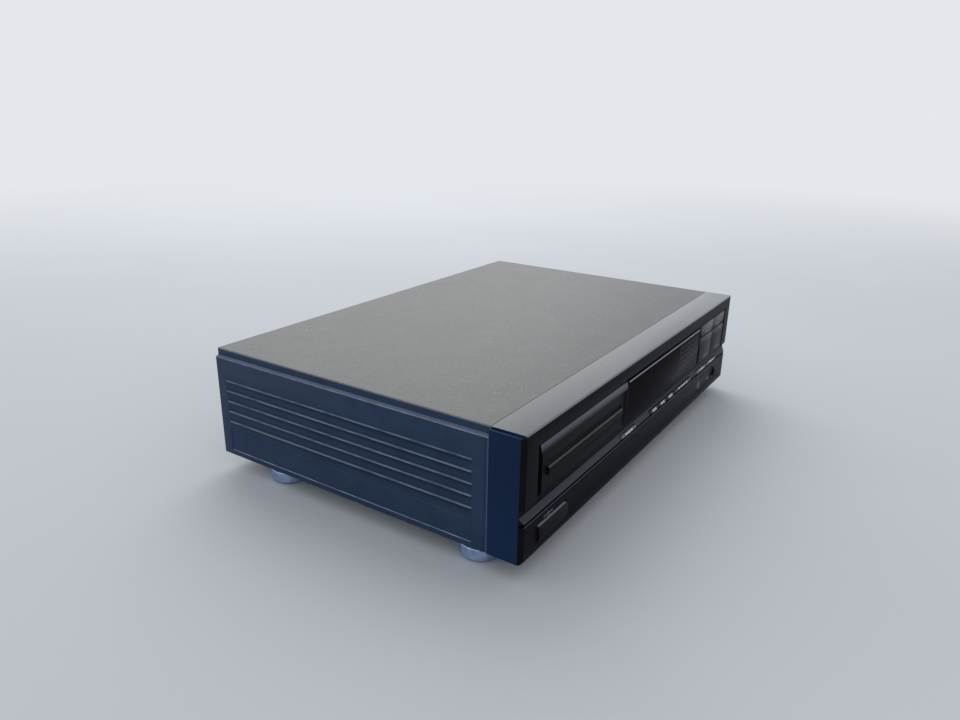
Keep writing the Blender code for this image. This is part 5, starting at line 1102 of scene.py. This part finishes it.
def inlet_face(polygon):
    """0 block, 1 the two pins in its recess."""
    c = polygon.center
    on_pins = abs(c.z - INLET_Z) < PIN_REACH and abs(abs(c.x - INLET_X) - PIN_ASIDE) < PIN_REACH
    return 1 if on_pins and c.y > RECESS_Y else 0


dress("mains_inlet", [black_skin, nickel], 0.12 * MM, inlet_face)

f = Finish("silver_label")
base = f.blend(f.noise(500, 3, 0.6), (176, 178, 180), (192, 194, 196))
label_skin = f.done(base_color=base, roughness=0.4 + f.noise(60) * 0.1, metallic=0.4)
f = Finish("label_ink")
label_ink = f.done(base_color=f.blend(f.noise(800), (24, 24, 26), (44, 44, 46)), roughness=0.6)


def on_back(name, x, z, outlines, ink, proud=0.04 * MM):
    printed(name, "case", outlines, (x * MM, rear_y, z * MM), ink=ink, proud=proud, right=(-1, 0, 0))


on_back("rating_label", -84, 44, [post(-26, 52, 30)], label_skin, 0.06 * MM)
rows = [post(-23, 30 - index * 5 % 17, 0.9, 10 - index * 3.2) for index in range(6)]
rows += [post(12, 11, 8, 7), post(-23, 46, 0.5, -11.5)]
on_back("rating_label_rows", -84, 44, rows, label_ink, 0.09 * MM)
on_back("serial_label", -20, 36, [post(-16, 32, 10)], white_ink, 0.06 * MM)
bars = [post(-13 + index * 1.3, 0.3 + index * 7 % 3 * 0.25, 5, 1) for index in range(20)]
on_back("serial_label_bars", -20, 36, bars, label_ink, 0.09 * MM)
plus = [post(-1.4, 2.8, 0.35, 0), post(-0.17, 0.35, 2.8, 0)]
ring = arc(2.2, 0.4, 0, 360)
on_back("mark_line_out", 100, 52, [*ring, pointer(3.6, 2.4)], white_ink)
on_back("mark_digital_out", 145, 52, [*ring, post(3.6, 2.6, 0.5, 0.6), post(3.6, 2.6, 0.5, -0.6)], white_ink)
on_back("mark_mains", -168, 54, [post(-3.4, 6.8, 0.45, 1.6), post(-3.4, 6.8, 0.45, -1.6), *plus], white_ink)
print("back dressed")

# %% [markdown]
# ## The headphone socket
# A black moulded ring stands in the front with a round bore. Seen from outside it is dull plastic with a
# bright spring deep inside, so the faces far down the bore are nickel. The bore's walls are painted shade.

# %% Headphone socket
BORE_X, BORE_Z, BORE_RADIUS = 172 * MM, 30 * MM, 3.5 * MM
CONTACT_Y = front_y + 10 * MM


def phones_face(polygon):
    """0 ring, 1 bore in painted shade, 2 the contact at the bore's end."""
    c = polygon.center
    if math.hypot(c.x - BORE_X, c.z - BORE_Z) > BORE_RADIUS:
        return 0
    return 2 if c.y > CONTACT_Y else 1


dress("phones_socket", [black_skin, shade_inside, nickel], 0.2 * MM, phones_face)
print("phones socket dressed")

# %% [markdown]
# ## Under the floor
# The pan is one folded sheet of zinc-plated steel with slots for air. Its plating breaks up in patches,
# and its edges are broken a little by the press.

# %% Bottom pan
dress("bottom_chassis", [zinc], 0.12 * MM)
print("pan dressed")

# %% [markdown]
# ## The disc tray and the loader
# The tray comes out with its door, so its plate, its round recess and its rack are seen from above. It
# is a fine matt black plastic, with a lighter sheen where discs have been laid in and taken out.

# %% Tray and loader
tray_low, tray_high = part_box("disc_tray")
disc_x, disc_y = (tray_low.x + tray_high.x) / 2, -65.2 * MM
DISC_RADIUS = 60.5 * MM

f = Finish("tray_plastic")
from_middle = f.around(disc_x, disc_y)
grain = f.noise(2400, 2, 0.6)
in_recess = from_middle.rises(DISC_RADIUS, DISC_RADIUS - MM)
rub = f.noise(50, 4, 0.6, f.stretched(1, 0.2, 1)).rises(0.5, 0.75) * in_recess
ring_marks = from_middle.wave(3 * MM) * from_middle.inside(48 * MM, DISC_RADIUS, MM)
base = f.blend(grain.rises(0.3, 0.8) * 0.6 + ring_marks * 0.15, (22, 22, 24), (34, 34, 36))
base = f.blend(rub * 0.12 + dust_and_scratches(f, 0.3), base, (92, 93, 95))
normal = f.bump(grain, 0.00001)
tray_skin = f.done(
    base_color=base, roughness=0.55 - rub * 0.12, normal=normal, specular_ior_level=0.4, ior=1.4
)
dress("disc_tray", [tray_skin], 0.25 * MM)
dress("loader_frame", [frame_skin], 0.15 * MM)
dress("clamp_puck", [black_skin], 0.2 * MM)
dress("turntable", [black_skin], 0.15 * MM)
dress("clamp_arm", [zinc], 0.12 * MM)
dress("laser_arm", [cast], 0.15 * MM)
finish(cast, "mechanism_plate")
finish(rubber_skin, "rubber_grommet_1", "rubber_grommet_2", "rubber_grommet_3", "drive_belt")
finish(acetal_skin, "tray_gear", "drive_pulley", "motor_pulley")
finish(can_steel, "loading_motor", "spindle_motor")
finish(black_skin, "power_switch")
print("tray and loader dressed")

# %% [markdown]
# ## The laser's lens
# The lens is a bead of clear plastic with a coating against reflections, which shows as violet and
# green. It stays a solid whose colour shifts from its middle to its rim.

# %% Lens and display tube
f = Finish("coated_lens")
lens_low, lens_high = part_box("objective_lens")
from_axis = f.around((lens_low.x + lens_high.x) / 2, (lens_low.y + lens_high.y) / 2)
base = f.blend(from_axis.rises(0, 3.4 * MM), (96, 84, 190), (34, 46, 96))
lens_skin = f.done(base_color=base, roughness=0.05 + f.noise(400) * 0.04, ior=1.55, coat_weight=0.6)
finish(lens_skin, "objective_lens")

f = Finish("display_glass")
digits = f.x.wave(4.2 * MM).rises(0.70, 0.85) * f.z.inside(70 * MM, 79 * MM, 0.2 * MM)
segments = digits * f.z.wave(3.6 * MM)
mesh_lines = f.x.wave(0.5 * MM) * 0.5 + f.z.wave(0.5 * MM) * 0.5
base = f.blend(mesh_lines * 0.5, (30, 40, 41), (52, 64, 64))
base = f.blend(segments * 0.7, base, (150, 178, 172))
tube_skin = f.done(base_color=base, roughness=0.12 + f.noise(200) * 0.06, ior=1.5)
finish(tube_skin, "display_tube")
print("lens and tube finished")

# %% [markdown]
# ## Boards
# A circuit board is green lacquer over copper tracks, with bright solder where parts are fixed. Tracks
# are cells of a Voronoi pattern stretched along the board, and pads are dots on a grid.


# %% Board finish
def lacquer(name, across, up):
    """Green lacquer with tracks and solder pads, in the plane of two of the coordinates.

    A side that looks to the front stands right behind the keys, where no light comes, and is near black.
    """
    f = Finish(name)
    hidden = f.part(f.facing, "Y").rises(-0.4, -0.7)
    u, v = getattr(f, across), getattr(f, up)
    plane = f.node("ShaderNodeCombineXYZ", {}, {"X": u * 1.0, "Y": v * 2.2})
    edge = f.cells(95, "DISTANCE_TO_EDGE", plane)
    tracks = edge.rises(0.10, 0.06)
    pads = u.wave(2.54 * MM).rises(0.90, 0.96) * v.wave(2.54 * MM).rises(0.90, 0.96)
    pads = pads * f.noise(90, 2, 0.5).rises(0.48, 0.55) * (1 - hidden)
    base = f.blend(tracks, (34, 66, 38), (48, 84, 46))
    base = f.blend(f.noise(60, 4).rises(0.4, 0.8) * 0.3, base, (44, 70, 42))
    base = f.blend(pads, base, (196, 196, 190))
    base = f.blend(hidden, base, (6, 8, 7))
    normal = f.bump(tracks * 0.5 + pads, 0.00004)
    return f.done(base_color=base, roughness=0.42 - pads * 0.12, metallic=pads * 0.9, normal=normal)


finish(lacquer("main_board_lacquer", "x", "y"), "main_board")
finish(lacquer("front_board_lacquer", "x", "z"), "front_board")

# %% [markdown]
# ## Parts on the main board
# Resistors, chips and small cans stand in rows on a board, and never quite the same in any two places.
# A grid of points thinned out with a fixed seed gives the places, and a second random number turns a
# part a quarter round. Each part is a few simple shapes: a body on two bent wires, or a chip with legs.


# %% Component recipes
def on_board(name, part):
    """A tree that scatters one part over a rectangle of the board."""
    recipe = Recipe(name)
    size_x, size_y, columns, rows, middle, seed, share = recipe.given(
        "size_x", "size_y", "columns:Int", "rows:Int", "middle:Vector", "seed:Int", "share"
    )
    sockets = {"Size X": size_x, "Size Y": size_y, "Vertices X": columns, "Vertices Y": rows}
    grid = recipe.node("GeometryNodeMeshGrid", {}, sockets)
    grid = recipe.node("GeometryNodeTransform", {}, {"Geometry": grid, "Translation": middle})
    limits = {"Min_001": 0.0, "Max_001": 1.0, "Seed": seed}
    chance = recipe.node("FunctionNodeRandomValue", {"data_type": "FLOAT"}, limits, out=1)
    limits = {"Min_002": 0, "Max_002": 1, "Seed": seed}
    turn = recipe.node("FunctionNodeRandomValue", {"data_type": "INT"}, limits, out=2)
    rotation = recipe.vector(0, 0, turn * (math.pi / 2))
    return recipe.ends(recipe.on(grid, part(recipe), Selection=chance < share, Rotation=rotation))


def rod(recipe, radius, length, at, upright=False, sides=8):
    """A cylinder, lying along x or standing."""
    sockets = {"Vertices": sides, "Radius": radius, "Depth": length}
    tube = recipe.node("GeometryNodeMeshCylinder", {}, sockets)
    turn = (0, 0, 0) if upright else (0, math.pi / 2, 0)
    return recipe.node("GeometryNodeTransform", {}, {"Geometry": tube, "Translation": at, "Rotation": turn})


def resistor(recipe):
    """A body with two wires down to the board."""
    wires = [rod(recipe, 0.3 * MM, 2 * MM, (side * 4 * MM, 0, 1 * MM), True, 6) for side in (-1, 1)]
    arms = [rod(recipe, 0.3 * MM, 1.4 * MM, (side * 3.4 * MM, 0, 2 * MM), False, 6) for side in (-1, 1)]
    return recipe.joined(rod(recipe, 1.1 * MM, 5.6 * MM, (0, 0, 2 * MM), False, 10), *wires, *arms)


def small_can(recipe):
    rim = rod(recipe, 2.6 * MM, 0.5 * MM, (0, 0, 7.2 * MM), True, 14)
    return recipe.joined(rod(recipe, 2.5 * MM, 7 * MM, (0, 0, 3.5 * MM), True, 14), rim)


def chip(recipe):
    legs = []
    for side in (-1, 1):
        foot = recipe.block(0.5 * MM, 1.0 * MM, 2.0 * MM)
        first = recipe.vector(-8.9 * MM, side * 3.9 * MM, 1.0 * MM)
        legs.append(recipe.on(recipe.row(8, first, recipe.vector(2.54 * MM)), foot))
    return recipe.joined(recipe.block(19 * MM, 6.4 * MM, 3 * MM, (0, 0, 2.4 * MM)), *legs)


f = Finish("resistor_bands")
base = f.blend(f.cells(700, out="Color"), (190, 164, 120), (120, 70, 40))
banded = f.done(base_color=base, roughness=0.45 + f.noise(400) * 0.1)
CHIP = dict(grain=1600, depth=0.00002, rough=0.55, dust=0.2, **SHINY)
chip_skin = skin("chip_epoxy", (26, 26, 27), (38, 38, 39), **CHIP)
f = Finish("small_can_sleeve")
stripe = f.x.wave(5 * MM).rises(0.7, 0.8)
base = f.blend(stripe, (26, 34, 60), (150, 156, 170))
base = f.blend(f.up.rises(0.6, 0.8), base, (176, 178, 180))
can_sleeve = f.done(base_color=base, roughness=0.35 + f.noise(300) * 0.1)

board_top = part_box("main_board")[1].z
fields = {
    "board_resistors": (resistor, "white_plastic", banded, 118, 110, 9, 12, 116, 4, 4, 0.42),
    "board_cans": (small_can, "sleeve", can_sleeve, 104, 100, 5, 6, 118.5, -0.5, 11, 0.4),
    "board_chips": (chip, "black_plastic", chip_skin, 70, 60, 2, 3, 96, 10, 2, 0.9),
}
for name, (part, slot, material, wide, deep, columns, rows, x, y, seed, share) in fields.items():
    field = dict(size_x=wide * MM, size_y=deep * MM, columns=columns, rows=rows, seed=seed, share=share)
    field["middle"] = (x * MM, y * MM, board_top)
    on_board(name + "_rule", part).made(name, "case", slot, material, **field)

# %% [markdown]
# ## The power supply and the ribbon
# The transformer is a stack of thin steel sheets around a wound coil. The sheets show as fine lines on
# its sides, the coil as yellowed tape over copper. The capacitors are cans in printed sleeves, the heat
# sink is drawn aluminium, and the ribbon is a row of grey wires side by side.

# %% Power supply and ribbon
f = Finish("transformer")
core_low, core_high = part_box("mains_transformer")
is_coil = abs(f.y - (core_low.y + core_high.y) / 2).rises(24.1 * MM, 24.3 * MM)
sheets = f.x.wave(0.7 * MM)
core = f.blend(sheets.rises(0.3, 0.9), (74, 70, 66), (112, 106, 100))
wrap = f.blend(f.noise(200, 4, 0.6).rises(0.3, 0.8), (190, 158, 74), (160, 120, 50))
base = f.blend(is_coil, core, wrap)
laminated = f.done(base_color=base, roughness=0.45 + f.noise(500) * 0.15, normal=f.bump(sheets, 0.00006))
dress("mains_transformer", [laminated], 0.4 * MM)

f = Finish("printed_sleeve")
band = f.x.wave(20 * MM, 1 * MM).rises(0.86, 0.9) * f.z.inside(28 * MM, 48 * MM, 0.3 * MM)
vent = abs(f.x.wave(20 * MM) - 0.5).rises(0.02, 0.0) * f.up.rises(0.6, 0.8)
base = f.blend(band, (20, 30, 62), (176, 182, 194))
base = f.blend(f.up.rises(0.6, 0.8), base, (168, 170, 172))
sleeve = f.done(base_color=base, roughness=0.32 + f.noise(200) * 0.1, normal=f.bump(vent, 0.0001))
for index in (1, 2):
    dress(f"filter_capacitor_{index}", [sleeve], 0.3 * MM)

drawn_aluminium = metal("drawn_aluminium", (190, 192, 195), (150, 152, 156), 0.36, 90, drawn=(1, 1, 0.04))
dress("heat_sink", [drawn_aluminium], 0.2 * MM)

f = Finish("ribbon")
wires = f.x.wave(1.27 * MM)
edge_wire = f.x.rises(11.4 * MM, 11.2 * MM)
base = f.blend(wires.rises(0.1, 0.5), (96, 97, 100), (150, 151, 154))
base = f.blend(edge_wire, base, (150, 40, 40))
ribbon_skin = f.done(base_color=base, roughness=0.5 + f.noise(300) * 0.1, normal=f.bump(wires, 0.0003))
finish(ribbon_skin, "flat_cable")
print("power supply finished")
